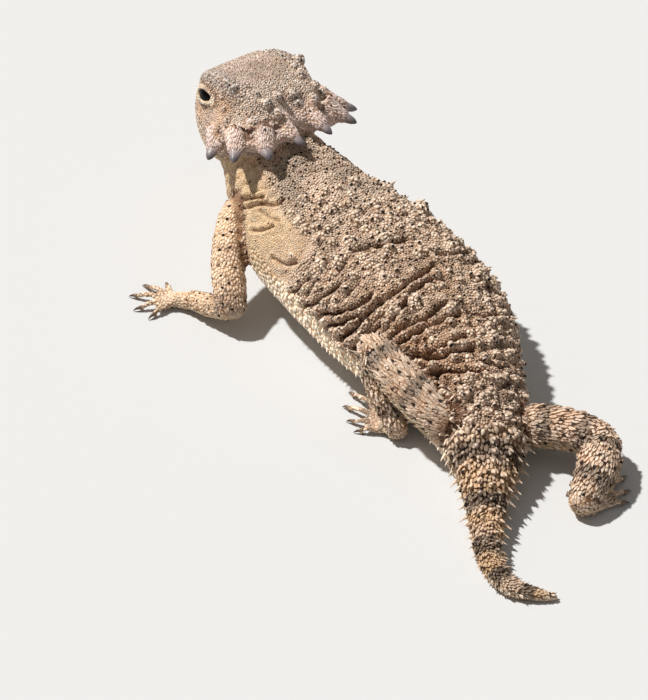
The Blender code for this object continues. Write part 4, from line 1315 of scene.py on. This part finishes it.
def dark_tipped(points, apart, rng):
    """Choose scales at random, no two nearer than the local distance."""
    tree = tree_of(points)
    chosen = np.zeros(len(points), bool)
    free = bytearray(b"\x01") * len(points)
    for number in rng.permutation(np.flatnonzero(apart < NO_SPECKS)).tolist():
        if free[number]:
            chosen[number] = True
            for _, other, _ in tree.find_range(points[number], apart[number]):
                free[other] = 0
    return chosen


def scattered(points, quads, normals, lies, spacing, stretch, rng, crowd=7.0):
    """Random points over the skin, no two nearer than the local spacing, farther apart along the lie."""
    triangles = np.concatenate([quads[:, [0, 1, 2]], quads[:, [0, 2, 3]]])
    a, b, c = (points[triangles[:, i]] for i in range(3))
    area = np.linalg.norm(np.cross(b - a, c - a), axis=1) / 2
    local, longer = spacing[triangles].mean(1), stretch[triangles].mean(1)
    chosen = np.repeat(np.arange(len(triangles)), rng.poisson(area / local**2 / longer * crowd))
    u, v = rng.random(len(chosen)), rng.random(len(chosen))
    flip = u + v > 1
    u[flip], v[flip] = 1 - u[flip], 1 - v[flip]
    weights = np.stack([1 - u - v, u, v], axis=1)[..., None]
    chosen = chosen[order := rng.permutation(len(chosen))]
    corners, weights = triangles[chosen], weights[order]
    spots = (points[corners] * weights).sum(1)
    outward = unit((normals[corners] * weights).sum(1))
    way = unit((lies[corners] * weights).sum(1)).tolist()
    tree = tree_of(spots)
    free = bytearray(b"\x01") * len(spots)
    kept = []
    sizes = zip(spots.tolist(), local[chosen].tolist(), longer[chosen].tolist())
    for number, (spot, span, long) in enumerate(sizes):
        if not free[number]:
            continue
        kept.append(number)
        less = 1 - 1 / long**2
        forward = Vector(way[number])
        middle = Vector(spot)
        for place, other, away in tree.find_range(spot, span * long):
            if free[other] and away * away - less * (place - middle).dot(forward) ** 2 < span * span:
                free[other] = 0
    return spots[kept], outward[kept]


def cell_reaches(points, normals, lies, sizes, stretch, sides, neighbours=19):
    """How far each scale reaches in several directions before it meets its neighbours."""
    across = np.cross(normals, lies)
    tree = tree_of(points)
    near = np.array([[hit[1] for hit in tree.find_n(p, neighbours)] for p in points.tolist()])[:, 1:]
    off = points[near] - points[:, None]
    x = (off * lies[:, None]).sum(2) / stretch[:, None]
    y = (off * across[:, None]).sum(2)
    same_side = (normals[near] * normals[:, None]).sum(2) > 0.1
    share = sizes[:, None] / (sizes[:, None] + sizes[near])
    squared = np.where(same_side, (x * x + y * y) * share, 1e3)
    reaches = np.empty((len(points), sides))
    for side in range(sides):
        turn = 2 * math.pi * side / sides
        toward = x * math.cos(turn) + y * math.sin(turn)
        limit = np.where(toward > 1e-4, squared / np.maximum(toward, 1e-4), 1e3)
        reaches[:, side] = limit.min(1)
    return np.minimum(reaches, 0.8 * sizes[:, None]), across


def flat_lies(lies, normals, rng, wander=0.12):
    lies = lies + rng.normal(0, wander, lies.shape)
    lies = lies - (lies * normals).sum(1, keepdims=True) * normals
    return unit(lies)


def cone_faces(rows, sides, count):
    """Triangles of many like cones, each of some rings of points from the foot up and a peak."""
    ring = np.arange(sides)
    after = (ring + 1) % sides
    faces = []
    for low in range(0, (rows - 1) * sides, sides):
        high = low + sides
        faces.append(np.stack([low + ring, low + after, high + after], 1))
        faces.append(np.stack([low + ring, high + after, high + ring], 1))
    top = (rows - 1) * sides
    faces.append(np.stack([top + ring, top + after, np.full(sides, rows * sides)], 1))
    stride = rows * sides + 1
    return (np.concatenate(faces)[None] + stride * np.arange(count)[:, None, None]).reshape(-1, 3)


def scale_mesh(points, normals, lies, across, reaches, shape, sink=0.12):
    """Points and triangles of all the scales: a sunk foot ring, a shoulder ring and a peak each."""
    count, sides = reaches.shape
    turn = 2 * np.pi * np.arange(sides) / sides
    rearward = np.cos(turn)[None]
    height, keel, overlap, long, plate = (
        shape[key][:, None] for key in ("height", "keel", "overlap", "long", "plate")
    )
    foot = reaches * 0.99
    rear = np.maximum(rearward, 0)
    shoulder = reaches * (0.79 + 0.08 * plate + 0.3 * overlap * rear + 0.8 * long * rear**3)
    round_lift = (1 - overlap) * (0.72 + 0.2 * plate)
    shoulder_lift = height * (round_lift + overlap * (0.42 + 0.3 * plate + 0.42 * rearward))
    rings = []
    for reach, lift in ((foot, np.full_like(foot, -sink)), (shoulder, shoulder_lift)):
        x, y = reach * np.cos(turn) * shape["stretch"][:, None], reach * np.sin(turn)
        rings.append(
            points[:, None]
            + lies[:, None] * x[..., None]
            + across[:, None] * y[..., None]
            + normals[:, None] * lift[..., None]
        )
    peak_out = reaches[:, :1] * (0.05 + 0.85 * keel + 0.9 * long) * shape["stretch"][:, None]
    peak = points + lies * peak_out + normals * height * (1 + 0.25 * keel)
    vertices = np.concatenate([*rings, peak[:, None]], axis=1)
    return vertices.reshape(-1, 3), cone_faces(len(rings), sides, count)


def thorn_mesh(spots, sides, flatten):
    """Points and triangles of spines with fluted feet and hollow flanks, and their heights from 0 to 1."""
    point, outward, lie = spots["point"], spots["outward"], spots["lie"]
    lie = unit(lie - (lie * outward).sum(1, keepdims=True) * outward)
    across = np.cross(outward, lie)
    radius, height, lean = (spots[key][:, None, None] for key in ("radius", "height", "lean"))
    turn = 2 * np.pi * np.arange(sides) / sides
    rings = []
    for lift, width in THORN_RINGS:
        flute = 1 + (0.12 if lift < 0.3 else 0.05) * np.cos(np.pi * np.arange(sides))
        reach = radius * (width * flute)[None, :, None]
        x = np.cos(turn)[None, :, None] * reach
        y = np.sin(turn)[None, :, None] * reach * flatten
        push = np.maximum(lift, 0) ** 1.3 * height * lean
        rings.append(
            point[:, None]
            + lie[:, None] * (x + push)
            + across[:, None] * y
            + outward[:, None] * (lift * height)
        )
    tip = point + lie * (height * lean)[:, 0] + outward * height[:, 0]
    vertices = np.concatenate([*rings, tip[:, None]], axis=1)
    rise = np.concatenate([np.repeat([max(lift, 0.0) for lift, _ in THORN_RINGS], sides), [1.0]])
    return vertices.reshape(-1, 3), cone_faces(len(rings), sides, len(point)), rise


def set_colours(mesh, colours, speck):
    """Keep each point's colour, and in speck how near it is to a dark dot."""
    layer = mesh.color_attributes.new("colour", "FLOAT_COLOR", "POINT")
    full = np.column_stack([np.clip(colours, 0, 1), np.ones(len(colours))]).astype(np.float32)
    layer.data.foreach_set("color", full.ravel())
    dots = mesh.attributes.new("speck", "FLOAT", "POINT")
    dots.data.foreach_set("value", np.asarray(speck, dtype=np.float32))


def coat_uv(mesh, corners):
    """Keep each point's place on the OFBake map."""
    loops = np.empty(len(mesh.loops), np.int32)
    mesh.loops.foreach_get("vertex_index", loops)
    layer = mesh.uv_layers.new(name="OFBake")
    layer.data.foreach_set("uv", corners[loops].astype(np.float32).ravel())


def unwrap(places):
    """Places on a flat chart of the skin, with one strip for each length of body."""
    turn = np.where(places.kind == HEAD_KIND, places.turn / HEAD_RING, places.turn / 360)
    spans = {TRUNK_KIND: 16.0, HEAD_KIND: 9.0, LIMB_KIND: 8.0, FOOT_KIND: 8.0, HORN_KIND: 1.0}
    length = np.array([spans[kind] for kind in range(5)])[places.kind]
    limb = (places.kind == LIMB_KIND) | (places.kind == FOOT_KIND)
    strips = np.where(limb, 4, np.where(places.kind == HORN_KIND, 8, 1))
    u = (places.group * (strips > 1) + np.mod(turn, 1.0)) / strips
    v = np.clip(places.place / length, 0, 1)
    return 0.01 + 0.98 * np.column_stack([u, v])


def finish_piece(thing, look, slot_name, nodes):
    thing.data.materials.clear()
    thing.data.materials.append(look)
    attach(thing, "root")
    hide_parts(*nodes)
    return thing


def finish_coat(name, vertices, triangles, paint, dots, places, spread, turns, dress):
    """One piece of the coat, with a small patch of the map for each scale at its root's place.

    The patch's corners have their spread from its middle and their turns round it.
    """
    look, slot_name, nodes = dress
    vertices[:, 2] = np.maximum(vertices[:, 2], 0.0)
    mesh = new_mesh(name, row_points(vertices), triangles.ravel(), np.full(len(triangles), 3))
    if name in CRISP_PIECES:
        mesh.shade_flat()
    set_colours(mesh, paint.reshape(-1, 3), dots.ravel())
    patch = PATCH / 2 * spread[:, None] * np.column_stack([np.cos(turns), np.sin(turns)])
    charts = np.repeat(unwrap(places), len(patch), axis=0)
    coat_uv(mesh, charts + np.tile(patch, (len(places.place), 1)))
    finish_piece(add_object(name, mesh), look, slot_name, nodes)


def new_material(name):
    made = bpy.data.materials.new(name)
    made.use_nodes = True
    return made


def set_inputs(node, inputs):
    """Give a node's inputs their values, or link them to the outputs that are given instead."""
    for key, value in inputs.items():
        if isinstance(value, bpy.types.NodeSocket):
            node.id_data.links.new(value, node.inputs[key])
        else:
            node.inputs[key].default_value = value


def add_node(made, kind, inputs, **settings):
    """Add a node to a material, with its settings and inputs."""
    node = made.node_tree.nodes.new(kind)
    for name, value in settings.items():
        setattr(node, name, value)
    set_inputs(node, inputs)
    return node


def add_bump(made, where, scale, detail, strength, distance):
    """The normals of a surface with fine noise on it."""
    grain = add_node(made, "ShaderNodeTexNoise", {"Vector": where, "Scale": scale, "Detail": detail})
    settings = {"Height": grain.outputs["Fac"], "Strength": strength, "Distance": distance}
    return add_node(made, "ShaderNodeBump", settings).outputs["Normal"]


def skin_material(name, roughness, grain_scale):
    """Colour from the markings with fine mottling, dark specks, and a grain finer than the scales."""
    made = new_material(name)
    where = add_node(made, "ShaderNodeTexCoord", {}).outputs["Object"]
    colour = add_node(made, "ShaderNodeAttribute", {}, attribute_name="colour")
    speck = add_node(made, "ShaderNodeAttribute", {}, attribute_name="speck")
    mottle = add_node(
        made, "ShaderNodeTexNoise", {"Vector": where, "Scale": 1500.0, "Detail": 5.0, "Roughness": 0.7}
    )
    lighter = {"From Min": 0.3, "From Max": 0.7, "To Min": 0.68, "To Max": 1.16}
    vary = add_node(made, "ShaderNodeMapRange", {"Value": mottle.outputs["Fac"], **lighter})
    scaling = {0: colour.outputs["Color"], "Scale": vary.outputs["Result"]}
    mottled = add_node(made, "ShaderNodeVectorMath", scaling, operation="SCALE")
    rim = {"Value": speck.outputs["Fac"], "From Min": 0.38, "From Max": 0.6}
    dot = add_node(made, "ShaderNodeMapRange", rim, interpolation_type="SMOOTHSTEP")
    both = {"Factor": dot.outputs["Result"], "A": mottled.outputs["Vector"], "B": (*INK, 1.0)}
    dotted = add_node(made, "ShaderNodeMix", both, data_type="RGBA")
    surface = {
        "Base Color": dotted.outputs["Result"],
        "Roughness": roughness,
        "Specular IOR Level": 0.3,
        "Normal": add_bump(made, where, grain_scale, 4.0, 0.6, 0.0003),
    }
    set_inputs(made.node_tree.nodes["Principled BSDF"], surface)
    return made


def ramp_material(name, stops, roughness, bump_scale, bump_strength, coat=0.0, shine=0.5):
    """A colour that changes along the attribute outward from 0 to 1, with a fine bump."""
    made = new_material(name)
    where = add_node(made, "ShaderNodeTexCoord", {}).outputs["Object"]
    outward = add_node(made, "ShaderNodeAttribute", {}, attribute_name="outward")
    cloud = add_node(made, "ShaderNodeTexNoise", {"Vector": where, "Scale": 700.0, "Detail": 3.0})
    terms = {0: cloud.outputs["Fac"], 1: 0.22, 2: outward.outputs["Fac"]}
    shaken = add_node(made, "ShaderNodeMath", terms, operation="MULTIPLY_ADD")
    ramp = add_node(made, "ShaderNodeValToRGB", {"Fac": shaken.outputs["Value"]})
    elements = ramp.color_ramp.elements
    while len(elements) < len(stops):
        elements.new(0.5)
    for element, (position, colour) in zip(elements, stops):
        element.position = position
        element.color = (*colour, 1.0)
    surface = {
        "Base Color": ramp.outputs["Color"],
        "Roughness": roughness,
        "Specular IOR Level": shine,
        "Coat Weight": coat,
        "Coat Roughness": 0.08,
        "Normal": add_bump(made, where, bump_scale, 2.0, bump_strength, 0.0001),
    }
    set_inputs(made.node_tree.nodes["Principled BSDF"], surface)
    return made


def tube_mesh(name, shells, values):
    """A mesh of closed tapering tubes, with a value from 0 to 1 for each point in outward."""
    mesh = bpy.data.meshes.new(name)
    mesh.from_pydata(row_points(np.concatenate(shells.points)).tolist(), [], shells.faces)
    mesh.validate()
    mesh.shade_smooth()
    layer = mesh.attributes.new("outward", "FLOAT", "POINT")
    layer.data.foreach_set("value", np.array(values, np.float32))
    return mesh


def dress_node(node, rings, tip, values, look, slot_name):
    """Put a tube through rings in place of a node, with a value from 0 to 1 for each ring."""
    shells = Shells()
    shells.add(rings, tip)
    spread = np.concatenate([np.repeat(values, len(rings[0])), [values[0], values[-1]]])
    name = f"dressed_{node}"
    finish_piece(add_object(name, tube_mesh(name, shells, spread)), look, slot_name, [node])


def make_horns(look):
    """The horns beyond their scaly sleeves, ridged at the root and blunt at the tip."""
    sides = 28
    parts = np.linspace(0.45, 0.985, 22)
    values = (parts - parts[0]) / (parts[-1] - parts[0])
    ridges = 1 + 0.035 * np.cos(9 * 2 * np.pi * np.arange(sides) / sides)
    for shape in HORNS:
        for side, side_name in SIDES:
            rings = []
            for part in parts:
                ring = horn_ring(shape, side, part, sides)
                centre = ring.mean(0)
                strength = 1 - ease(part, 0.75, 0.95)
                blunt = 1 + 0.4 * ease(part, 0.7, 0.98)
                rings.append(centre + (ring - centre) * blunt * (1 + (ridges - 1) * strength)[:, None])
            start, end = horn_ends(shape, side)
            tip = start + (end - start) * 0.995
            dress_node(f"{shape[0]}_{side_name}", rings, tip, values, look, "horn")


def make_eyes(look):
    """The eyeballs, with a slight bulge in front and values from the middle of the pupil out."""
    angles = np.linspace(0.02, 1, 28) * math.pi * 0.97
    values = (angles / (math.pi * 0.45))[::-1] * 0.9
    for side, side_name in SIDES:
        centre, gaze, *_ = eye_frame(side)
        rings = []
        for angle in angles[::-1]:
            bulge = 1 + 0.05 * math.exp(-((angle / 0.5) ** 2))
            middle = centre + gaze * EYE_RADIUS * bulge * math.cos(angle)
            rings.append(round_ring(middle, gaze, EYE_RADIUS * math.sin(angle), 40))
        dress_node(f"eye_{side_name}", rings, rings[-1].mean(0), np.clip(values, 0, 1), look, "eye")


def make_claws(claws, look):
    """One curved claw for each toe, from the start and direction that add_digit gives."""
    sides = 12
    parts = np.linspace(0, 0.92, 8)
    shells, values = Shells(), []
    for centre, direction in claws:
        rings = []
        for part in parts:
            place = centre + direction * (CLAW_LENGTH * 1.25 * part - CLAW_RADIUS)
            place[2] = centre[2] + 0.28 * math.sin(math.pi * part) * 0.8 - (centre[2] - 0.2) * part**1.6
            rings.append(round_ring(place, direction, CLAW_RADIUS * (1 - 0.85 * part**1.2), sides, 1.1))
        tip = centre + direction * CLAW_LENGTH
        tip[2] = 0.12
        shells.add(rings, tip)
        values += [*np.repeat(parts, sides), 0.0, 1.0]
    finish_piece(add_object("claws", tube_mesh("claws", shells, values)), look, "limb_skin", FEET)

def coat_pieces(places):
    """Names of the coat's pieces, with what they cover, their slot and the nodes that they dress."""
    turn = places.trunk_turn()
    trunk, head = places.kind == TRUNK_KIND, places.kind == HEAD_KIND
    legs = (places.kind == LIMB_KIND) | (places.kind == FOOT_KIND)
    tail = trunk & (places.place > 9.7)
    body = trunk & ~tail
    above = (turn > -5) & (turn < 185)
    left_head = (places.turn < HEAD_RING / 2) & head
    horn = places.kind == HORN_KIND
    return (
        ("coat_head_left", left_head, "head_skin", ("head",)),
        ("coat_head_right", head & ~left_head, "head_skin", ("head",)),
        ("coat_horn_roots", horn, "head_skin", ("head",)),
        ("coat_back_left", body & above & (turn < 90), "back_skin", BODY),
        ("coat_back_right", body & above & (turn >= 90), "back_skin", BODY),
        ("coat_belly", body & ~above, "throat_skin", BODY),
        ("coat_tail", tail, "tail_skin", TAIL),
        ("coat_forelegs", legs & (places.group < 2), "limb_skin", FRONT),
        ("coat_hindlegs", legs & (places.group >= 2), "limb_skin", HIND),
    )


def build_skin(look):
    """The skin, and what the coat needs to know of it."""
    rng = np.random.default_rng(SEED)
    shells = Shells()
    add_trunk(shells)
    add_head(shells)
    add_horn_sleeves(shells)
    claws = []
    for number, leg in enumerate(LEGS):
        claws += add_leg(shells, number, *leg)
    points, quads = largest_piece(*remeshed(shells))
    edges = edges_of(quads)
    points = smoothed(points, edges, 3)
    table = np.concatenate(shells.samples)
    tree = tree_of(table[:, :3])
    places = Places(points, table, tree)
    big, small, fringe, tail = trunk_spots(rng)
    limbs, heads = limb_spots(rng), head_spots()
    normals = vertex_normals(points, quads)
    creased, deep = crease_heights(points)
    on_trunk = places.kind == TRUNK_KIND
    folded = wrinkles(points, places)
    joint = junctions(points, places, table)
    deep = np.max([deep * on_trunk, ease(folded, 0.2, 0.6) * 0.8, joint], axis=0)
    rough = rough_spots(points, normals, places, rng)
    mounded = {"big": big, "small": small, "rough": rough, "heads": heads, "tail": tail}
    bump = np.max([mounds(points, mounded[name], *form) for name, form in MOUND_FORMS.items()], axis=0)
    rise = creased * on_trunk - folded - joint * JUNCTION_DEPTH + bump
    rise += SKIN_UNEVENNESS * (noise(points, 1.4, 9) - 0.5) * on_trunk
    points = points + normals * (rise - SKIN_INSET)[:, None]
    points = shape_eyes(points)
    points = shape_nostrils(points, normals)
    points = smoothed(points, edges, 1, 0.3)
    normals = vertex_normals(points, quads)
    points[:, 2] = np.maximum(points[:, 2], 0.02)
    mesh = new_mesh("skin", row_points(points), quads.ravel(), np.full(len(quads), 4))
    relief = np.column_stack([deep, np.clip(bump / 0.7, 0, 1) * (1 - deep)])
    # The skin between the scales carries the gaps' painted shade.
    gap = scale_sizes(places, relief)["gap"][:, None]
    between = markings(points, places, relief) * (0.15 + 0.85 * gap) * GAP_TINT
    set_colours(mesh, between, np.zeros(len(points)))
    finish_piece(add_object("skin", mesh), look, "back_skin", FLESH)
    spots = (big, small, fringe, tail, limbs, heads)
    return points, quads, normals, places, relief, (table, tree), spots, claws


def on_skin(spots, points, tree, sink=0.0):
    """Move each spot to the nearest point of the finished skin."""
    spots["point"] = points[nearest(tree, spots["point"])] - spots["outward"] * sink
    return spots


def clear_of_eyes(points):
    """Whether points lie off the opening between the lids."""
    clear = np.ones(len(points), bool)
    for side, _ in SIDES:
        clear &= eye_distance(points, side)[0] > 1.12
    return clear


def near_eyes(points):
    """Whether points lie on the lids."""
    return (eye_distance(points, 1)[0] < 1.75) | (eye_distance(points, -1)[0] < 1.75)


def spine_pull(points, spots):
    """The pull of each scale towards its spine, how dark the cap is, and how near its foot lies."""
    big, small, _, _, _, heads = spots
    centres = np.concatenate([one["point"] for one in (big, small, heads)])
    radii = np.concatenate([one["radius"] for one in (big, small, heads)])
    dark = np.concatenate([0 * big["radius"], 0 * small["radius"], heads["dark"]])
    hit = nearest(tree_of(centres), points)
    off = centres[hit] - points
    away = np.linalg.norm(off, axis=1) / (radii[hit] * 1.7)
    foot = (1 - ease(np.abs(away - 0.78), 0.05, 0.2)) * (hit >= len(centres) - len(heads["dark"]))
    return unit(off) * (1 - ease(away, 0.5, 1.1))[:, None], dark[hit] * (1 - ease(away, 0.2, 0.6)), foot


def build_coat(skin, look):
    """Scales over the whole skin, and then the spines."""
    points, quads, normals, skin_places, relief, (table, tree), spots, _ = skin
    rng = np.random.default_rng(SEED + 1)
    form = scale_sizes(skin_places, relief)
    roots, outward = scattered(
        points, quads, normals, skin_places.lie, form["size"], form["stretch"], rng
    )
    clear = clear_of_eyes(roots) & (roots[:, 2] > FLOOR_GAP)
    roots, outward = roots[clear], outward[clear]
    places = Places(roots, table, tree)
    skin_tree = tree_of(points)
    root_relief = relief[nearest(skin_tree, roots)]
    shape = scale_sizes(places, root_relief)
    size = shape["size"] * rng.uniform(0.72, 1.35, len(roots))
    lids = near_eyes(roots)
    apart = np.where(lids, NO_SPECKS, shape["apart"] * rng.uniform(0.8, 1.35, len(roots)))
    speck = dark_tipped(roots, apart, rng)
    size = np.where(speck, size * shape["grown"], size)
    shape["height"] = shape["height"] * rng.uniform(0.65, 1.35, len(roots))
    toward, cap, foot = spine_pull(roots, spots)
    lies = flat_lies(places.lie + toward * 2.2, outward, rng)
    reaches, across = cell_reaches(roots, outward, lies, size, shape["stretch"], SCALE_SIDES)
    reaches = reaches * rng.uniform(0.93, 1.03, reaches.shape)
    colours = markings(roots, places, root_relief)
    # Painted shadow round the foot of each head tubercle.
    colours = mix(colours, KNOB_FOOT_SHADE, foot * 0.45)
    colours = mix(colours, KNOB_CAP, ease(cap, 0.0, 0.15) * 0.8)
    on_head = places.kind == HEAD_KIND
    variation = np.where(on_head, 0.24, 0.16)[:, None]
    colours = colours * (1 - 0.02 + variation * rng.uniform(-1, 1, (len(roots), 1)))
    speck |= on_head & ~lids & (cap > 0.1) & (rng.random(len(roots)) < 0.4)
    spiny = speck & (places.kind == TRUNK_KIND)
    shape["height"] = np.where(spiny, shape["height"] * 2.2, shape["height"])
    shape["keel"] = np.where(spiny, 0.7, shape["keel"])
    shape["plate"] = np.where(spiny, 0.0, shape["plate"])
    shape["height"] = np.where(lids, 0.05, shape["height"])
    shape["gap"] = np.where(lids, 0.92, shape["gap"])
    dot_size = np.where(on_head, 0.3, 0.42)[:, None]
    turn = 2 * np.pi * np.arange(SCALE_SIDES) / SCALE_SIDES
    turns = np.concatenate([turn, turn, [0.0]])
    spread = np.repeat([1.0, 0.75, 0.0], [SCALE_SIDES, SCALE_SIDES, 1])
    shoulder = slice(SCALE_SIDES, -1)
    for name, covers, slot_name, nodes in coat_pieces(places):
        chosen = np.flatnonzero(covers)
        forms = {key: value[chosen] for key, value in shape.items()}
        vertices, triangles = scale_mesh(
            roots[chosen], outward[chosen], lies[chosen], across[chosen], reaches[chosen], forms
        )
        # Painted shade on each scale's sunk foot ring and slightly on its shoulder, and a painted highlight
        # on its peak.
        shade = np.repeat(forms["gap"][:, None], len(turns), axis=1)
        shade[:, shoulder] = 0.97
        shade[:, -1] = 1.06
        paint = colours[chosen][:, None] * shade[..., None]
        paint[:, :SCALE_SIDES] *= GAP_TINT
        dots = np.zeros_like(shade)
        dots[:, shoulder] = dot_size[chosen] + (dot_size[chosen] - 0.05) * np.cos(turn)
        dots[:, -1] = 1.0
        dots *= speck[chosen][:, None]
        dress = (look, slot_name, nodes)
        finish_coat(name, vertices, triangles, paint, dots, places.pick(chosen), spread, turns, dress)
    build_spines(spots, points, skin_tree, (table, tree), look)


def build_spines(spots, points, skin_tree, locate, look):
    """Spines on the back, edges, tail and limbs, and the caps of the head's tubercles."""
    big, small, fringe, tail, limbs, heads = spots
    groups = (
        ("spines_back", (big, small), "back_skin", BODY, 8, 1.0),
        ("spines_fringe", (fringe,), "back_skin", BODY, 6, 0.6),
        ("spines_tail", (tail,), "tail_skin", TAIL, 6, 0.85),
        ("spines_limbs", (limbs,), "limb_skin", FRONT + HIND, 6, 0.85),
        ("tubercles", (heads,), "head_skin", ("head",), 8, 1.0),
    )
    for name, parts, slot_name, nodes, sides, flatten in groups:
        kept = [{key: value for key, value in one.items() if key != "dark"} for one in parts]
        together = on_skin(joined(kept), points, skin_tree, 0.05)
        if name in CAP_SIZE:
            wide, high = CAP_SIZE[name]
            together["radius"], together["height"] = together["radius"] * wide, together["height"] * high
        vertices, triangles, rise = thorn_mesh(together, sides, flatten)
        places = Places(together["point"], *locate)
        flat = np.zeros((len(together["point"]), 2))
        colour = markings(together["point"], places, flat)
        light = colour * 0.45 + PALE * 0.6
        if name == "tubercles":
            light = mix(light, GREY * 0.6, heads["dark"])
        paint = colour[:, None] + (light - colour)[:, None] * np.clip(rise * 1.6, 0, 1)[None, :, None]
        # Painted shade on each spine's sunk foot.
        paint = paint * np.where(rise > 0, 1.0, 0.65)[None, :, None]
        turns = np.append(np.tile(2 * np.pi * np.arange(sides) / sides, len(THORN_RINGS)), 0.0)
        no_dots = np.zeros(len(vertices))
        dress = (look, slot_name, nodes)
        finish_coat(name, vertices, triangles, paint, no_dots, places, 1 - rise, turns, dress)


def make_floor():
    """A wide pale floor under the model."""
    half = FLOOR_HALF_WIDTH
    mesh = bpy.data.meshes.new("floor")
    corners = [(-half, -half, 0), (half, -half, 0), (half, half, 0), (-half, half, 0)]
    mesh.from_pydata(corners, [], [(0, 1, 2, 3)])
    floor = add_object("floor", mesh)
    made = new_material("floor")
    surface = {"Base Color": (*FLOOR_GREY, 1.0), "Roughness": 0.9}
    set_inputs(made.node_tree.nodes["Principled BSDF"], surface)
    mesh.materials.append(made)


def look_from(place, target):
    """The turn that points a camera or a lamp from a place to a target."""
    return (Vector(target) - Vector(place)).to_track_quat("-Z", "Y").to_euler()


def make_light():
    """One soft sun and a plain pale studio round it."""
    scene = bpy.context.scene
    sun = bpy.data.lights.new("key", "SUN")
    sun.energy = SUN_STRENGTH
    sun.angle = math.radians(SUN_WIDTH)
    sun.color = SUN_COLOUR
    add_object("key", sun).rotation_euler = look_from((0, 0, 0), SUN_TRAVEL)
    world = bpy.data.worlds.new("studio")
    world.use_nodes = True
    set_inputs(world.node_tree.nodes["Background"], {"Color": STUDIO_COLOUR, "Strength": STUDIO_STRENGTH})
    scene.world = world
    scene.view_settings.view_transform = "Standard"


def make_camera():
    """The camera at the photograph's viewing angle."""
    target = Vector(row_points(CAMERA_TARGET))
    tilt = math.radians(CAMERA_TILT)
    away = Vector((0.0, -math.cos(tilt), math.sin(tilt)))
    lens = bpy.data.cameras.new("camera")
    lens.lens = CAMERA_LENS
    lens.clip_start = 0.05
    camera = add_object("camera", lens)
    camera.location = target + away * CAMERA_DISTANCE
    camera.rotation_euler = look_from(camera.location, target)
    bpy.context.scene.camera = camera


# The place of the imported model's frame in this script's, found from the left eye.
eye_low, eye_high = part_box("eye_left")
SHIFT = head_point(EYE_CENTRE) - np.array((eye_low + eye_high) / 2) / MM

skin_look = skin_material("skin", 0.8, 3600.0)
coat_look = skin_material("scales", 0.72, 3000.0)
horn_look = ramp_material("horn", HORN_STOPS, 0.42, 2600.0, 0.35)
claw_look = ramp_material("claw", CLAW_STOPS, 0.35, 3000.0, 0.1)
skin = build_skin(skin_look)
build_coat(skin, coat_look)
make_horns(horn_look)
make_eyes(ramp_material("eye", EYE_STOPS, 0.12, 4000.0, 0.01, coat=0.05, shine=0.1))
make_claws(skin[-1], claw_look)
make_floor()
make_light()
make_camera()
